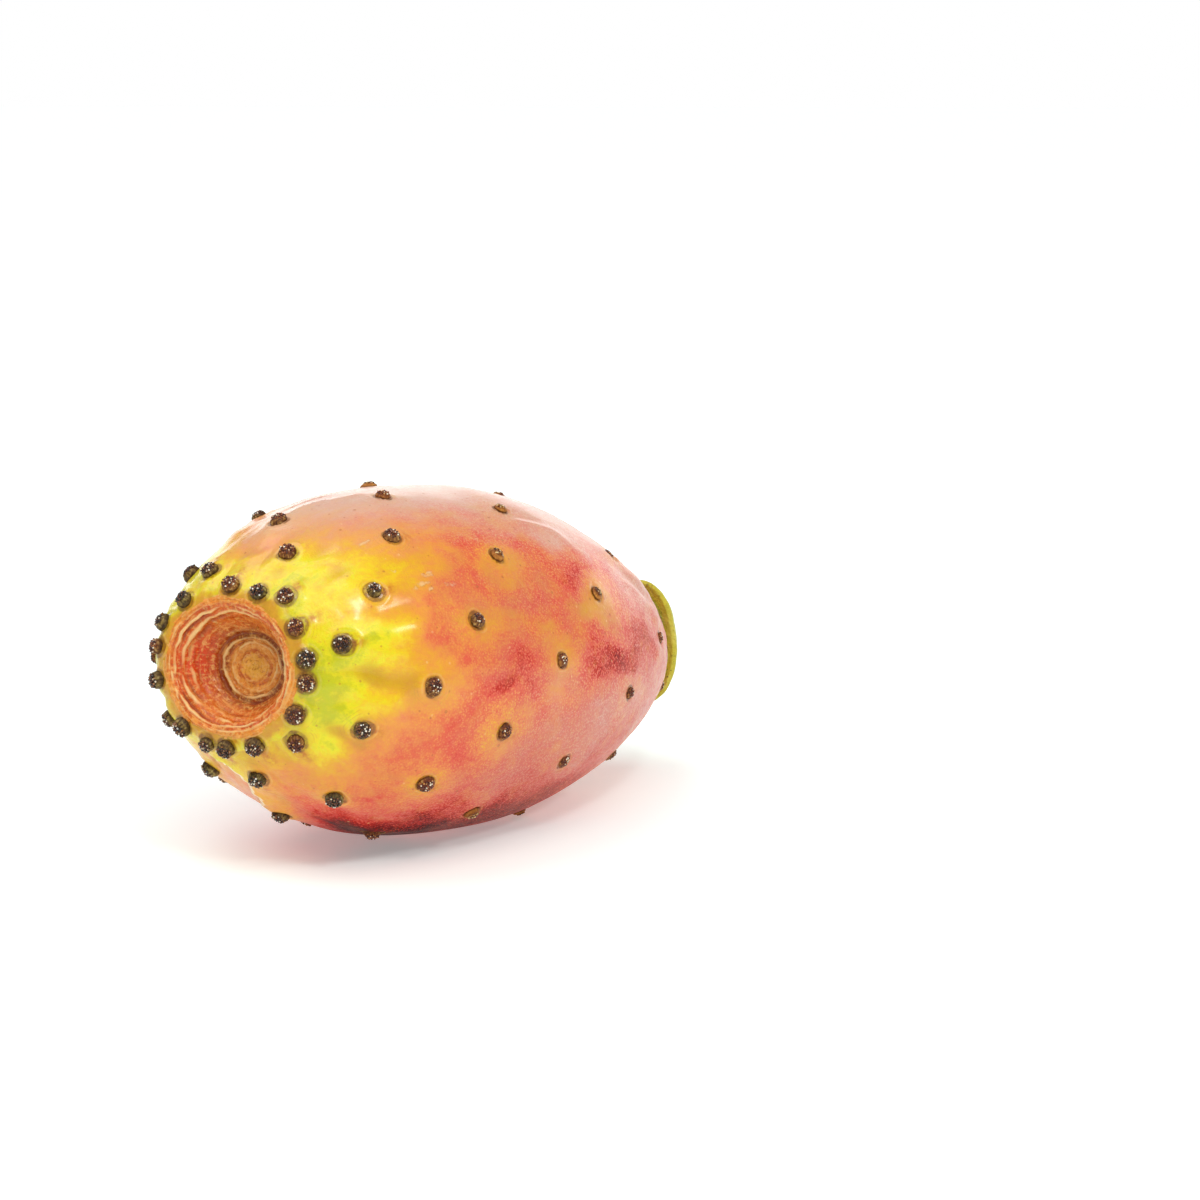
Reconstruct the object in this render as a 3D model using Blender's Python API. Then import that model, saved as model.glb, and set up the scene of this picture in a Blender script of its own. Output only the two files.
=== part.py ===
"""Prickly pear fruit, as picked, lying on its side.

The fruit is one grown solid: a fleshy body with a shallow cup where the flower
fell off, and an areole, a small cushion of bristles, at every point of a
spiral. A scrap of the cactus pad is still attached at the stem end.

Shapes are worked out in millimetres with the fruit's axis along +X, from the
flower end at station 0 to the stem end, and +Z up. Angles run round the axis
from +Z towards -Y. The finished objects are in metres.
"""

import math

import bmesh
import bpy
from mathutils import Euler, Matrix, Vector

MM = 0.001

# Body
LENGTH = 88.5  # flower end to the point that the stem end tapers towards
RADIUS = 23.0  # widest section
WIDEST = 38.3  # station of the widest section
FLOWER_REACH = 0.851  # how much of the flower end's taper is used before the rim
FLOWER_TAPER = (3.12, 0.897)  # exponents of the blunt flower end
STEM_TAPER = (1.93, 0.867)  # exponents of the longer stem end
END_STATION = 77.2  # from here the stem end is part of a ball
OVAL = 0.032  # how far the section departs from a circle
OVAL_ANGLE = math.radians(22)  # direction of the narrow way across
BOW_UP = 0.66  # the axis bows upwards by this
BOW_SWING = 1.30  # and the bow leans towards the stem end by this
BOW_SIDE = 1.19  # and sideways by this
CROWN_TILT = math.tan(math.radians(11.8))  # the flower end faces partly sideways
CROWN_TILT_FADE = 10.0  # station where that tilt has died out
SEGMENTS = 48  # faces round the body
BODY_RINGS = 32  # rings from the rim to the stem scar

# Flower end as (station, radius), from the middle of the cup out to the rim
CUP = ((4.4, 0.0), (4.3, 2.0), (4.1, 3.9), (2.6, 5.4), (0.8, 6.5), (-0.3, 7.3))
RIM = ((-0.8, 8.0), (-0.75, 8.7), (-0.4, 9.5))
RIM_SLOPE = 1.25  # how fast the rim narrows past station 0
SCAR_RADIUS = 4.4  # edge of the scar at the stem end
SCAR_FLOOR = (3.7, 0.6)  # radius and depth of the scar's sunken floor

# Areoles, numbered along the spiral from the rim of the cup
FIRST_AREOLE = -13
LAST_AREOLE = 56
SPIRAL = (0.1, 0.417, 0.0162)  # station of number 0, first step, and its growth
DIVERGENCE = math.radians(99.6)  # turn from one areole to the next
START_ANGLE = math.radians(299.1)
RIM_STATION = -0.4  # the first ones crowd together on the rim
LEAN = 3.0  # the spiral leans with the crown's tilt
SWAY = (math.radians(5.4), math.radians(4.3))  # and sways a little round the body
LEAN_FULL = 12.0  # station where lean and sway are complete
AREOLE_RADIUS = (1.42, 1.10)  # on the rim, and past AREOLES_EVEN
AREOLE_HEIGHT = (1.20, 0.50)
AREOLES_EVEN = 45.0  # station from which they are all small
AREOLE_SIDES = 8
AREOLE_RINGS = 5

# Mounds under the areoles, tall near the flower end
MOUND_HEIGHT = 0.95
MOUND_SINK = 0.4  # share of that height by which the skin between them sinks
MOUND_FADE = 17.0
MOUND_LENGTH = 4.2
MOUND_WIDTH = 2.3
MOUND_END = 3.0  # a mound is left out beyond this many lengths or widths

# Scrap of pad at the stem end: an oval slab on a short neck
NECK_RADIUS = 3.1
NECK_LENGTH = 2.6
NECK_SHAPE = ((0.0, 0.0), (0.0, 1.0), (0.5, 0.82), (0.96, 1.05))  # (length, radius)
PAD_HALF_HEIGHT = 8.8
PAD_HALF_WIDTH = 6.3
PAD_SQUARENESS = 3.0  # exponent of its outline, 2 for an ellipse
PAD_THICKNESS = 2.2
PAD_EDGE = ((0.0, 0.74), (0.25, 0.95), (0.55, 1.0), (0.85, 0.94), (1.0, 0.72))
PAD_CROWN = (0.1, 0.36)  # how far its outer side swells, and how much of it
PAD_OFFSET = (-1.2, 1.4)  # its middle sits beside and above the neck
PAD_CURL = 15.0  # radius of its curl towards the fruit
PAD_SEGMENTS = 32
SEAT_GAP = 0.3

# Resting position on a flat surface, which presses the underside a little flat
REST_ROLL = math.radians(-5.9)
REST_PITCH = math.radians(7.9)
PRESSED = 0.85

STEP = 0.01  # for slopes and normals, millimetres or radians


def taper_radius(station):
    """Radius of the body before its stem end is rounded off."""
    if station < 0.0:
        return taper_radius(0.0) + RIM_SLOPE * station
    if station < WIDEST:
        reach = FLOWER_REACH * (WIDEST - station) / WIDEST
        power, root = FLOWER_TAPER
    else:
        reach = (station - WIDEST) / (LENGTH - WIDEST)
        power, root = STEM_TAPER
    return RADIUS * (1.0 - reach**power) ** root


def end_ball():
    """Middle station and radius of the ball that the stem end's taper meets."""
    radius = taper_radius(END_STATION)
    slope = (radius - taper_radius(END_STATION + STEP)) / STEP
    return END_STATION - radius * slope, radius * math.hypot(1.0, slope)


BALL_STATION, BALL_RADIUS = end_ball()
SCAR_STATION = BALL_STATION + math.sqrt(BALL_RADIUS**2 - SCAR_RADIUS**2)


def body_radius(station):
    """Radius of the round body at a station."""
    if station > END_STATION:
        return math.sqrt(BALL_RADIUS**2 - (station - BALL_STATION) ** 2)
    return taper_radius(station)


def crown_share(station):
    """How far the crown's tilt is felt at a station of the body."""
    return min(1.0, max(0.0, 1.0 - station / CROWN_TILT_FADE)) ** 2


def bend(station, radius, angle, tilt):
    """Point of the bowed, oval, tilted fruit for a point of the round one."""
    across = radius * (1.0 - OVAL * math.cos(2.0 * (angle - OVAL_ANGLE)))
    way = 1.0 - 2.0 * station / LENGTH
    bow = 1.0 - way * way
    x = station - LENGTH / 2 + tilt * across * math.sin(angle) * CROWN_TILT
    y = -across * math.sin(angle) + BOW_SIDE * bow
    z = across * math.cos(angle) + (BOW_UP - BOW_SWING * way) * bow
    return Vector((x, y, z))


def areole_size(sizes, station):
    """Size of an areole, between that on the rim and that of the small ones."""
    share = min(1.0, max(0.0, station / AREOLES_EVEN))
    return sizes[0] + (sizes[1] - sizes[0]) * share


def areole_places():
    """Station and angle of every areole, along one spiral."""
    places = []
    start, pace, growth = SPIRAL
    for number in range(FIRST_AREOLE, LAST_AREOLE + 1):
        angle = START_ANGLE + number * DIVERGENCE
        along = start + pace * number + growth * number**2
        share = min(1.0, max(0.0, along / LEAN_FULL))
        station = max(along, RIM_STATION) + share * LEAN * math.sin(angle)
        sway = SWAY[0] * math.cos(angle) + SWAY[1] * math.sin(angle)
        places.append((station, angle + share * sway))
    return places


AREOLES = areole_places()


def mound(station, angle):
    """Height of the skin's mounds at a place on the body."""
    height = 0.0
    radius = body_radius(station)
    for own_station, own_angle in AREOLES:
        turn = math.remainder(angle - own_angle, math.tau) * radius / MOUND_WIDTH
        step = (station - own_station) / MOUND_LENGTH
        distance = turn * turn + step * step
        if distance < MOUND_END**2:
            height = max(height, math.exp(-distance))
    return MOUND_HEIGHT * (height - MOUND_SINK) * math.exp(-max(0.0, station) / MOUND_FADE)


def skin_point(station, angle):
    """Point of the finished skin."""
    radius = body_radius(station) + mound(station, angle)
    return bend(station, radius, angle, crown_share(station))


def skin_normal(station, angle):
    """Outward direction of the skin at a place."""
    along = skin_point(station + STEP, angle) - skin_point(station - STEP, angle)
    turn = skin_point(station, angle + STEP) - skin_point(station, angle - STEP)
    return turn.cross(along).normalized()


def new_material(name, color, roughness):
    """Plain finish of one piece."""
    material = bpy.data.materials.new(name)
    material.use_nodes = True
    shader = material.node_tree.nodes["Principled BSDF"]
    shader.inputs["Base Color"].default_value = (*color, 1.0)
    shader.inputs["Roughness"].default_value = roughness
    shader.inputs["Metallic"].default_value = 0.0
    return material


def new_object(name, bm, collection):
    """Object from a finished bmesh, its millimetres turned to metres."""
    bmesh.ops.scale(bm, vec=(MM, MM, MM), verts=bm.verts)
    mesh = bpy.data.meshes.new(name)
    bm.to_mesh(mesh)
    bm.free()
    obj = bpy.data.objects.new(name, mesh)
    collection.objects.link(obj)
    return obj


def turned(profile, segments):
    """Closed bmesh of a profile of (x, radius) turned about the X axis."""
    bm = bmesh.new()
    verts = [bm.verts.new((x, 0.0, radius)) for x, radius in profile]
    edges = [bm.edges.new(pair) for pair in zip(verts, verts[1:])]
    bmesh.ops.spin(
        bm,
        geom=verts + edges,
        cent=(0, 0, 0),
        axis=(1, 0, 0),
        angle=math.tau,
        steps=segments,
        use_merge=True,
    )
    bmesh.ops.remove_doubles(bm, verts=bm.verts, dist=0.001)
    bmesh.ops.recalc_face_normals(bm, faces=bm.faces)
    return bm


def body_profile():
    """Turned profile from the middle of the cup, over the rim, to the scar."""
    profile = [*CUP, *RIM]
    for ring in range(BODY_RINGS + 1):
        station = SCAR_STATION * (1.0 - math.cos(math.pi * ring / BODY_RINGS)) / 2
        profile.append((station, body_radius(station)))
    radius, depth = SCAR_FLOOR
    profile.append((SCAR_STATION - depth, radius))
    profile.append((SCAR_STATION - depth, 0.0))
    return profile


def build_body():
    """Fleshy body with its cup, stem scar and mounds."""
    bm = turned(body_profile(), SEGMENTS)
    for vert in bm.verts:
        station = vert.co.x
        radius = math.hypot(vert.co.y, vert.co.z)
        angle = math.atan2(-vert.co.y, vert.co.z)
        if station >= 0 and abs(radius - body_radius(station)) < 0.01:
            vert.co = skin_point(station, angle)
        else:
            vert.co = bend(station, radius, angle, float(station < WIDEST))
    return bm


def build_areoles():
    """Cushions of all the areoles, each half sunk into the skin."""
    bm = bmesh.new()
    for station, angle in AREOLES:
        radius = areole_size(AREOLE_RADIUS, station)
        height = areole_size(AREOLE_HEIGHT, station)
        turn = skin_normal(station, angle).to_track_quat("Z", "X").to_matrix().to_4x4()
        place = Matrix.Translation(skin_point(station, angle)) @ turn
        squash = Matrix.Diagonal((radius, radius, height, 1.0))
        bmesh.ops.create_uvsphere(
            bm,
            u_segments=AREOLE_SIDES,
            v_segments=AREOLE_RINGS,
            radius=1.0,
            matrix=place @ squash,
        )
    return bm


def build_fruit(parts, cutters):
    """The fruit, its body and areoles joined into one solid."""
    fruit = new_object("fruit", build_body(), parts)
    areoles = new_object("areole_domes", build_areoles(), cutters)
    areoles.hide_render = True
    areoles.display_type = "WIRE"
    join = fruit.modifiers.new("join areoles", "BOOLEAN")
    join.operation = "UNION"
    join.object = areoles
    join.use_self = True
    fruit.data.materials.append(new_material("fruit skin", (0.72, 0.16, 0.06), 0.35))
    return fruit, areoles


def pad_profile():
    """Turned profile of neck and slab from the seat outwards, as (x, share).

    The share is of the neck's radius up to the slab, and then of the slab's.
    """
    slab_end = NECK_LENGTH + PAD_THICKNESS
    swell, share = PAD_CROWN
    neck = [(NECK_LENGTH * way, width) for way, width in NECK_SHAPE]
    slab = [(NECK_LENGTH + PAD_THICKNESS * way, width) for way, width in PAD_EDGE]
    return [*neck, *slab, (slab_end + swell, share), (slab_end + swell, 0.0)]


def build_pad(parts):
    """Scrap of pad: a curled, nearly square slab on a short neck."""
    bm = turned(pad_profile(), PAD_SEGMENTS)
    for vert in bm.verts:
        x, y, z = vert.co
        if x < NECK_LENGTH - STEP:
            vert.co = Vector((x, y * NECK_RADIUS, z * NECK_RADIUS))
            continue
        power = PAD_SQUARENESS
        round_size = math.hypot(y, z)
        square_size = (abs(y) ** power + abs(z) ** power) ** (1.0 / power)
        swell = round_size / square_size if square_size > 0 else 1.0
        y = y * swell * PAD_HALF_WIDTH + PAD_OFFSET[0]
        z = z * swell * PAD_HALF_HEIGHT + PAD_OFFSET[1]
        vert.co = Vector((x - (y * y + z * z) / (2.0 * PAD_CURL), y, z))
    seat = bend(SCAR_STATION - SCAR_FLOOR[1], 0.0, 0.0, 0.0)
    bmesh.ops.translate(bm, vec=seat + Vector((SEAT_GAP, 0.0, 0.0)), verts=bm.verts)
    pad = new_object("pad_remnant", bm, parts)
    pad.data.materials.append(new_material("pad rind", (0.55, 0.50, 0.06), 0.5))
    return pad


def placed_points(obj, turn):
    """Corners of an object's evaluated mesh, turned by the resting rotation."""
    graph = bpy.context.evaluated_depsgraph_get()
    return [turn @ vert.co for vert in obj.evaluated_get(graph).data.vertices]


def press_flat(fruit, turn, cutters):
    """Flatten the underside where it lies on the surface; returns its height."""
    floor = min(point.z for point in placed_points(fruit, turn)) + PRESSED * MM
    bm = bmesh.new()
    bmesh.ops.create_cube(bm, size=2 * LENGTH)
    table = new_object("resting_surface", bm, cutters)
    table.matrix_world = turn.inverted() @ Matrix.Translation((0, 0, floor - LENGTH * MM))
    table.hide_render = True
    table.display_type = "WIRE"
    cut = fruit.modifiers.new("press flat", "BOOLEAN")
    cut.operation = "DIFFERENCE"
    cut.object = table
    return table, floor


def settle(fruit, pad, areoles, cutters):
    """Lay everything on the surface, with the origin below the middle."""
    turn = Euler((REST_ROLL, REST_PITCH, 0.0), "XYZ").to_matrix().to_4x4()
    table, floor = press_flat(fruit, turn, cutters)
    points = placed_points(fruit, turn) + placed_points(pad, turn)
    middle = Vector((0.0, 0.0, floor))
    for axis in range(2):
        places = [point[axis] for point in points]
        middle[axis] = (min(places) + max(places)) / 2
    rest = bpy.data.objects.new("resting_place", None)
    bpy.context.scene.collection.objects.link(rest)
    rest.matrix_world = Matrix.Translation(-middle) @ turn
    for obj in (fruit, pad, areoles, table):
        obj.parent = rest


def main():
    for obj in list(bpy.data.objects):
        bpy.data.objects.remove(obj)
    parts = bpy.data.collections.new("prickly_pear_fruit")
    cutters = bpy.data.collections.new("cutters")
    for collection in (parts, cutters):
        bpy.context.scene.collection.children.link(collection)
    fruit, areoles = build_fruit(parts, cutters)
    pad = build_pad(parts)
    for piece in (fruit, pad):
        piece.data.shade_smooth()
        piece.data.set_sharp_from_angle(angle=math.radians(50))
    settle(fruit, pad, areoles, cutters)


main()
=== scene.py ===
"""Looks of the prickly pear fruit: fine skin, flower scar, bristle cushions and scrap of pad.

The fruit's own frame is the one of the part's source: millimetres, axis along +X from the
flower end (station 0) to the stem end, angles round the axis from +Z towards -Y. The same
named rules give its shape here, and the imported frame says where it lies.
"""

import math
from types import SimpleNamespace

import bpy
import numpy as np
from mathutils import Euler, Matrix, Vector, kdtree, noise


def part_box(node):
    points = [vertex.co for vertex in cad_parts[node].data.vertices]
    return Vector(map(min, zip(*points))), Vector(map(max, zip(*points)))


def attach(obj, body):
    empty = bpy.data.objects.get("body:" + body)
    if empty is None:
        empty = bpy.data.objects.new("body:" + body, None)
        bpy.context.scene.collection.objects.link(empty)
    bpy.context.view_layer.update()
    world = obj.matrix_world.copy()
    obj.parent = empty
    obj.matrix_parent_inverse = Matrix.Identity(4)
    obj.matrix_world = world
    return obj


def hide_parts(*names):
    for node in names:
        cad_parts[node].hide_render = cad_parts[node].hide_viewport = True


MM = 0.001
PRESS_SOFT = 0.12  # roundness of the edge of the patch that the floor presses flat

# Body, as in the part's source
LENGTH = 88.5
RADIUS = 23
WIDEST = 38.3
FLOWER_REACH = 0.851
FLOWER_TAPER = (3.12, 0.897)
STEM_TAPER = (1.93, 0.867)
END_STATION = 77.2
OVAL = 0.032
OVAL_ANGLE = math.radians(22)
BOW_UP = 0.66
BOW_SWING = 1.3
BOW_SIDE = 1.19
CROWN_TILT = math.tan(math.radians(11.8))
CROWN_TILT_FADE = 10
CUP = ((4.4, 0), (4.3, 2), (4.1, 3.9), (2.6, 5.4), (0.8, 6.5), (-0.3, 7.3))
RIM = ((-0.8, 8), (-0.75, 8.7), (-0.4, 9.5))
RIM_SLOPE = 1.25
SCAR_RADIUS = 4.4
SCAR_FLOOR = (3.7, 0.6)
REST = Euler((math.radians(-5.9), math.radians(7.9), 0), "XYZ").to_matrix()

# Areoles, as in the part's source
FIRST_AREOLE = -13
LAST_AREOLE = 56
SPIRAL = (0.1, 0.417, 0.0162)
DIVERGENCE = math.radians(99.6)
START_ANGLE = math.radians(299.1)
RIM_STATION = -0.4
LEAN = 3
SWAY = (math.radians(5.4), math.radians(4.3))
LEAN_FULL = 12
AREOLE_RADIUS = (1.42, 1.1)
AREOLE_HEIGHT = (1.2, 0.5)
AREOLES_EVEN = 45
MOUND_HEIGHT = 0.95
MOUND_SINK = 0.4
MOUND_FADE = 17
MOUND_LENGTH = 4.2
MOUND_WIDTH = 2.3

# Scrap of pad, as in the part's source
NECK_RADIUS = 3.1
NECK_LENGTH = 2.6
NECK_SHAPE = ((0, 0), (0, 1), (0.5, 0.82), (0.96, 1.05))
PAD_HALF_HEIGHT = 8.8
PAD_HALF_WIDTH = 6.3
PAD_SQUARENESS = 3
PAD_THICKNESS = 2.2
PAD_EDGE = ((0, 0.74), (0.25, 0.95), (0.55, 1), (0.85, 0.94), (1, 0.72))
PAD_CROWN = (0.1, 0.36)
PAD_OFFSET = (-1.2, 1.4)
PAD_CURL = 15
SEAT_GAP = 0.3

# Fineness of the skin
SEGMENTS = 300
CUP_RINGS = 66
CROWN_RINGS = 66
BODY_RINGS = 172
CROWN_END = 17  # the rings lie closer together up to this station

# Camera: the fruit's own origin is seen this far right, up and away
CAMERA_HEADING = math.radians(-53.52)
CAMERA_DOWN = math.radians(10)
ORIGIN_SEEN = (-18.01, -7.92, 375.6)
LENS = 85
SENSOR = 36


def srgb(red, green, blue):
    """Linear colour from the usual 0 to 255 values."""
    shares = [value / 255 for value in (red, green, blue)]
    linear = [s / 12.92 if s <= 0.04045 else ((s + 0.055) / 1.055) ** 2.4 for s in shares]
    return (*linear, 1)


def smooth(value, low, high):
    """0 below low, 1 above high, and a smooth step between."""
    share = np.clip((value - low) / (high - low), 0, 1)
    return share * share * (3 - 2 * share)


def plateau(value, begin, full, fall, gone):
    """1 from full to fall, 0 up to begin and from gone on, and smooth steps between."""
    return smooth(value, begin, full) * (1 - smooth(value, fall, gone))


def between(pair, share):
    """Value at a share of the way from the first of a pair to the second."""
    return pair[0] + (pair[1] - pair[0]) * share


def bell(aside, along=0):
    """Soft hill: 1 in the middle, about a third at a distance of 1."""
    return np.exp(-(aside**2) - along**2)


def field(points, size, seed=0):
    """Smooth noise from -1 to 1 at an array of points; size is that of its lumps."""
    shift = Vector((seed, 1.7 * seed, -seed))
    values = [noise.noise(Vector(point) / size + shift) for point in points.reshape(-1, 3)]
    return np.array(values).reshape(points.shape[:-1])


def layers(points, rows):
    """Sum of layers of noise given as (amount, size of the lumps, seed)."""
    return sum(amount * field(points, size, seed) for amount, size, seed in rows)


def ring_angles(count):
    """Angles of a ring of evenly spaced points."""
    return np.arange(count) * math.tau / count


def on_circle(angle):
    """Points of the unit circle at these angles, in the X-Y plane."""
    return np.stack([np.cos(angle), np.sin(angle), np.zeros(np.shape(angle))], axis=-1)


# ---------------------------------------------------------------- shape of the fruit


def taper_radius(station):
    """Radius of the two tapers that meet where the fruit is widest."""
    station = np.asarray(station, float)
    reach = np.clip(FLOWER_REACH * (WIDEST - np.maximum(station, 0)) / WIDEST, 0, 1)
    flower = RADIUS * (1 - reach ** FLOWER_TAPER[0]) ** FLOWER_TAPER[1]
    reach = np.clip((station - WIDEST) / (LENGTH - WIDEST), 0, 1)
    stem = RADIUS * (1 - reach ** STEM_TAPER[0]) ** STEM_TAPER[1]
    return np.where(station < WIDEST, flower, stem) + RIM_SLOPE * np.minimum(station, 0)


def end_ball():
    """Middle station and radius of the ball that the stem end's taper meets."""
    step = 0.01
    radius = float(taper_radius(END_STATION))
    slope = (radius - float(taper_radius(END_STATION + step))) / step
    return END_STATION - radius * slope, radius * math.hypot(1, slope)


BALL_STATION, BALL_RADIUS = end_ball()
SCAR_STATION = BALL_STATION + math.sqrt(BALL_RADIUS**2 - SCAR_RADIUS**2)


def body_radius(station):
    """Radius of the round fruit: the tapers, closed by a ball at the stem end."""
    station = np.asarray(station, float)
    ball = np.sqrt(np.maximum(BALL_RADIUS**2 - (station - BALL_STATION) ** 2, 0))
    return np.where(station > END_STATION, ball, taper_radius(station))


def crown_share(station):
    """How much of the crown's tilt is left at a station."""
    return np.clip(1 - station / CROWN_TILT_FADE, 0, 1) ** 2


def bend(station, radius, angle, tilt):
    """Points of the bowed, oval, tilted fruit for points of the round one."""
    across = radius * (1 - OVAL * np.cos(2 * (angle - OVAL_ANGLE)))
    way = 1 - 2 * station / LENGTH
    bow = 1 - way * way
    x = station - LENGTH / 2 + tilt * across * np.sin(angle) * CROWN_TILT
    y = -across * np.sin(angle) + BOW_SIDE * bow
    z = across * np.cos(angle) + (BOW_UP - BOW_SWING * way) * bow
    return np.stack(np.broadcast_arrays(x, y, z), axis=-1)


def areole_share(station):
    """0 at the crown, 1 where the areoles have come down to their smallest."""
    return min(1, max(0, station / AREOLES_EVEN))


def areole_places():
    """Station and angle of every areole, along one spiral."""
    places = []
    start, pace, growth = SPIRAL
    for number in range(FIRST_AREOLE, LAST_AREOLE + 1):
        angle = START_ANGLE + number * DIVERGENCE
        along = start + pace * number + growth * number**2
        share = min(1, max(0, along / LEAN_FULL))
        station = max(along, RIM_STATION) + share * LEAN * math.sin(angle)
        sway = SWAY[0] * math.cos(angle) + SWAY[1] * math.sin(angle)
        places.append((station, angle + share * sway))
    return places


AREOLES = areole_places()


def turn_between(angle, other):
    """Signed turn from one angle to another, the short way round."""
    return np.remainder(angle - other + math.pi, math.tau) - math.pi


def mound(station, angle):
    """Height of the mounds under the areoles."""
    radius = body_radius(station)
    height = np.zeros(np.broadcast(station, angle).shape)
    for own_station, own_angle in AREOLES:
        across = turn_between(angle, own_angle) * radius / MOUND_WIDTH
        along = (station - own_station) / MOUND_LENGTH
        height = np.maximum(height, bell(across, along))
    return MOUND_HEIGHT * (height - MOUND_SINK) * np.exp(-np.maximum(station, 0) / MOUND_FADE)


def plain_skin(station, angle):
    """Points of the skin without its fine relief."""
    radius = body_radius(station) + mound(station, angle)
    return bend(station, radius, angle, crown_share(station))


def skin_normal(station, angle):
    """Way that the skin faces."""
    step = 0.05
    along = plain_skin(station + step, angle) - plain_skin(station - step, angle)
    across = plain_skin(station, angle + step) - plain_skin(station, angle - step)
    normal = np.cross(across, along)
    return normal / np.linalg.norm(normal, axis=-1, keepdims=True)


def own_frame():
    """Places of the areoles as (point, normal, radius, height), in the fruit's own frame."""
    found = []
    for station, angle in np.array(AREOLES):
        share = areole_share(station)
        size = (between(AREOLE_RADIUS, share), between(AREOLE_HEIGHT, share))
        found.append((plain_skin(station, angle), skin_normal(station, angle), *size))
    return found


TUFTS = own_frame()
TRIED = (80, 161, 181)  # last station, stations and angles at which the skin's box is taken


def place_in_row():
    """Where the fruit's own origin lies in the row frame, in millimetres.

    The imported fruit's box and the areoles that touch it say so.
    """
    turn = np.array(REST)
    low, high = (np.array(corner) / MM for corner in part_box("fruit"))
    reach = []
    for point, normal, radius, height in TUFTS:
        way = turn @ normal
        spread = np.sqrt(radius**2 * (1 - way**2) + height**2 * way**2)
        middle = turn @ point
        reach.append((middle - spread, middle + spread))
    reach = np.array(reach)
    last, steps, turns = TRIED
    stations, angles = np.meshgrid(np.linspace(0, last, steps), np.linspace(0, math.tau, turns))
    skin = plain_skin(stations, angles).reshape(-1, 3) @ turn.T
    own_low = np.minimum(reach[:, 0].min(0), skin.min(0))
    own_high = np.maximum(reach[:, 1].max(0), skin.max(0))
    place = (low + high - own_low - own_high) / 2
    place[0] = low[0] - own_low[0]
    place[2] = high[2] - own_high[2]
    return place


def to_row(points, place):
    """Row-frame points in metres; what would be under the floor is pressed flat on it."""
    laid = points @ np.array(REST).T + place
    laid[..., 2] = (laid[..., 2] + np.sqrt(laid[..., 2] ** 2 + PRESS_SOFT**2)) / 2
    return laid * MM


# ---------------------------------------------------------------- mesh helpers


def new_piece(name, points, faces, materials, replaces=()):
    """Object of the row frame that rides on the root body."""
    mesh = bpy.data.meshes.new(name)
    mesh.from_pydata([tuple(p) for p in points.tolist()], [], faces)
    mesh.update()
    mesh.shade_smooth()
    for material in materials:
        mesh.materials.append(material)
    obj = bpy.data.objects.new(name, mesh)
    bpy.context.scene.collection.objects.link(obj)
    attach(obj, "root")
    if replaces:
        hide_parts(*replaces)
    return obj


def add_attribute(obj, name, values):
    """One number or one vector for every point of a piece."""
    kind, key = ("FLOAT_VECTOR", "vector") if np.ndim(values) == 2 else ("FLOAT", "value")
    attribute = obj.data.attributes.new(name, kind, "POINT")
    attribute.data.foreach_set(key, np.asarray(values, np.float32).ravel())


def flipped(faces):
    """The same faces, looking the other way."""
    return [tuple(reversed(face)) for face in faces]


def turned_faces(rings, segments, first):
    """Quads between rings of points, each ring closed."""
    faces = []
    for low in range(first, first + (rings - 1) * segments, segments):
        for step in range(segments):
            start, end = low + step, low + (step + 1) % segments
            faces.append((start, start + segments, end + segments, end))
    return faces


def pole_faces(pole, low, segments, outward):
    """Triangles between a pole and the ring that begins at low."""
    faces = []
    for step in range(segments):
        pair = (low + step, low + (step + 1) % segments)
        faces.append((pole, *(pair if outward else pair[::-1])))
    return faces


def closed_faces(rings, segments, forward):
    """Faces of a pole, rings of points and a pole; forward if angles go from +Z to +Y."""
    last = rings * segments + 1
    quads = turned_faces(rings, segments, first=1)
    faces = pole_faces(0, 1, segments, outward=forward)
    faces += quads if forward else flipped(quads)
    return faces + pole_faces(last, last - segments, segments, outward=not forward)


def shared_out(corners, count, stretch=(1, 1)):
    """Points shared out evenly along a line of corners, as one array for each coordinate."""
    corners = np.array(corners)
    steps = np.diff(corners * stretch, axis=0)
    length = np.concatenate([[0], np.cumsum(np.hypot(*steps.T))])
    even = np.linspace(0, length[-1], count)
    return [np.interp(even, length, column) for column in corners.T]


# ---------------------------------------------------------------- skin


# Lips of the flower scar as (radius, height, width, groove beside it: -1 inside, 1 outside)
LIPS = (
    (0.95, 0.05, 0.3, 1),
    (1.85, 0.12, 0.26, 1),
    (2.35, 0.07, 0.18, -1),
    (2.95, 0.2, 0.24, 1),
    (3.8, 0.46, 0.3, 1),
    (4.6, 0.08, 0.2, -1),
    (6.35, 0.16, 0.24, -1),
    (6.9, 0.3, 0.26, -1),
    (7.5, 0.34, 0.2, -1),
    (7.95, 0.2, 0.15, -1),
    (8.35, 0.14, 0.13, -1),
    (8.75, 0.12, 0.12, -1),
)
LIP_INNER_EDGE = 0.6  # a lip falls off this much faster on its inner side
LIP_WANDER = ((0.34, 0.8, 3.1), (0.14, 0.17, 7.7))  # how it strays: amount, size, seeds' step
LIP_UNEVEN = (0.5, 11.3, 2)  # and varies in strength: size of the noise, seeds' step, seed
LIP_STRENGTH = (0.8, 0.25, 1.3)  # its middle, least and greatest value
LIP_TALL = 0.25  # a lip as tall as this counts in full for its paler colour, partly painted highlight
GROOVE_AWAY = 1.5  # from its lip, in widths of the lip
GROOVE_WIDTH = 0.8
GROOVE_DEPTH = 0.7
GROOVE_TALL = 0.3
# How much a groove darkens the colours: painted shade in the groove, on top of its own browner
# colour.
GROOVE_SHADE = 0.9
SCAR_EDGE = 8.75  # radius where the dried scar ends and the skin begins
SCAR_WANDER = ((0.55, 0.5, 1), (0.22, 0.12, 2))  # how that edge strays: layers of noise
RISE = (8.4, 9.8)  # radii over which the skin's mounds take over from the scar
FELT = ((1, 0.9, 3), (0.6, 0.4, 4))  # layers of noise
FELT_HEIGHT = 0.07
CRIMPS = (9, 0.35)  # fineness of the rim's crimps round it and across it
CRIMP_HEIGHT = 0.16
CRIMP_NOISE = (1, 6)  # size, seed
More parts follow.
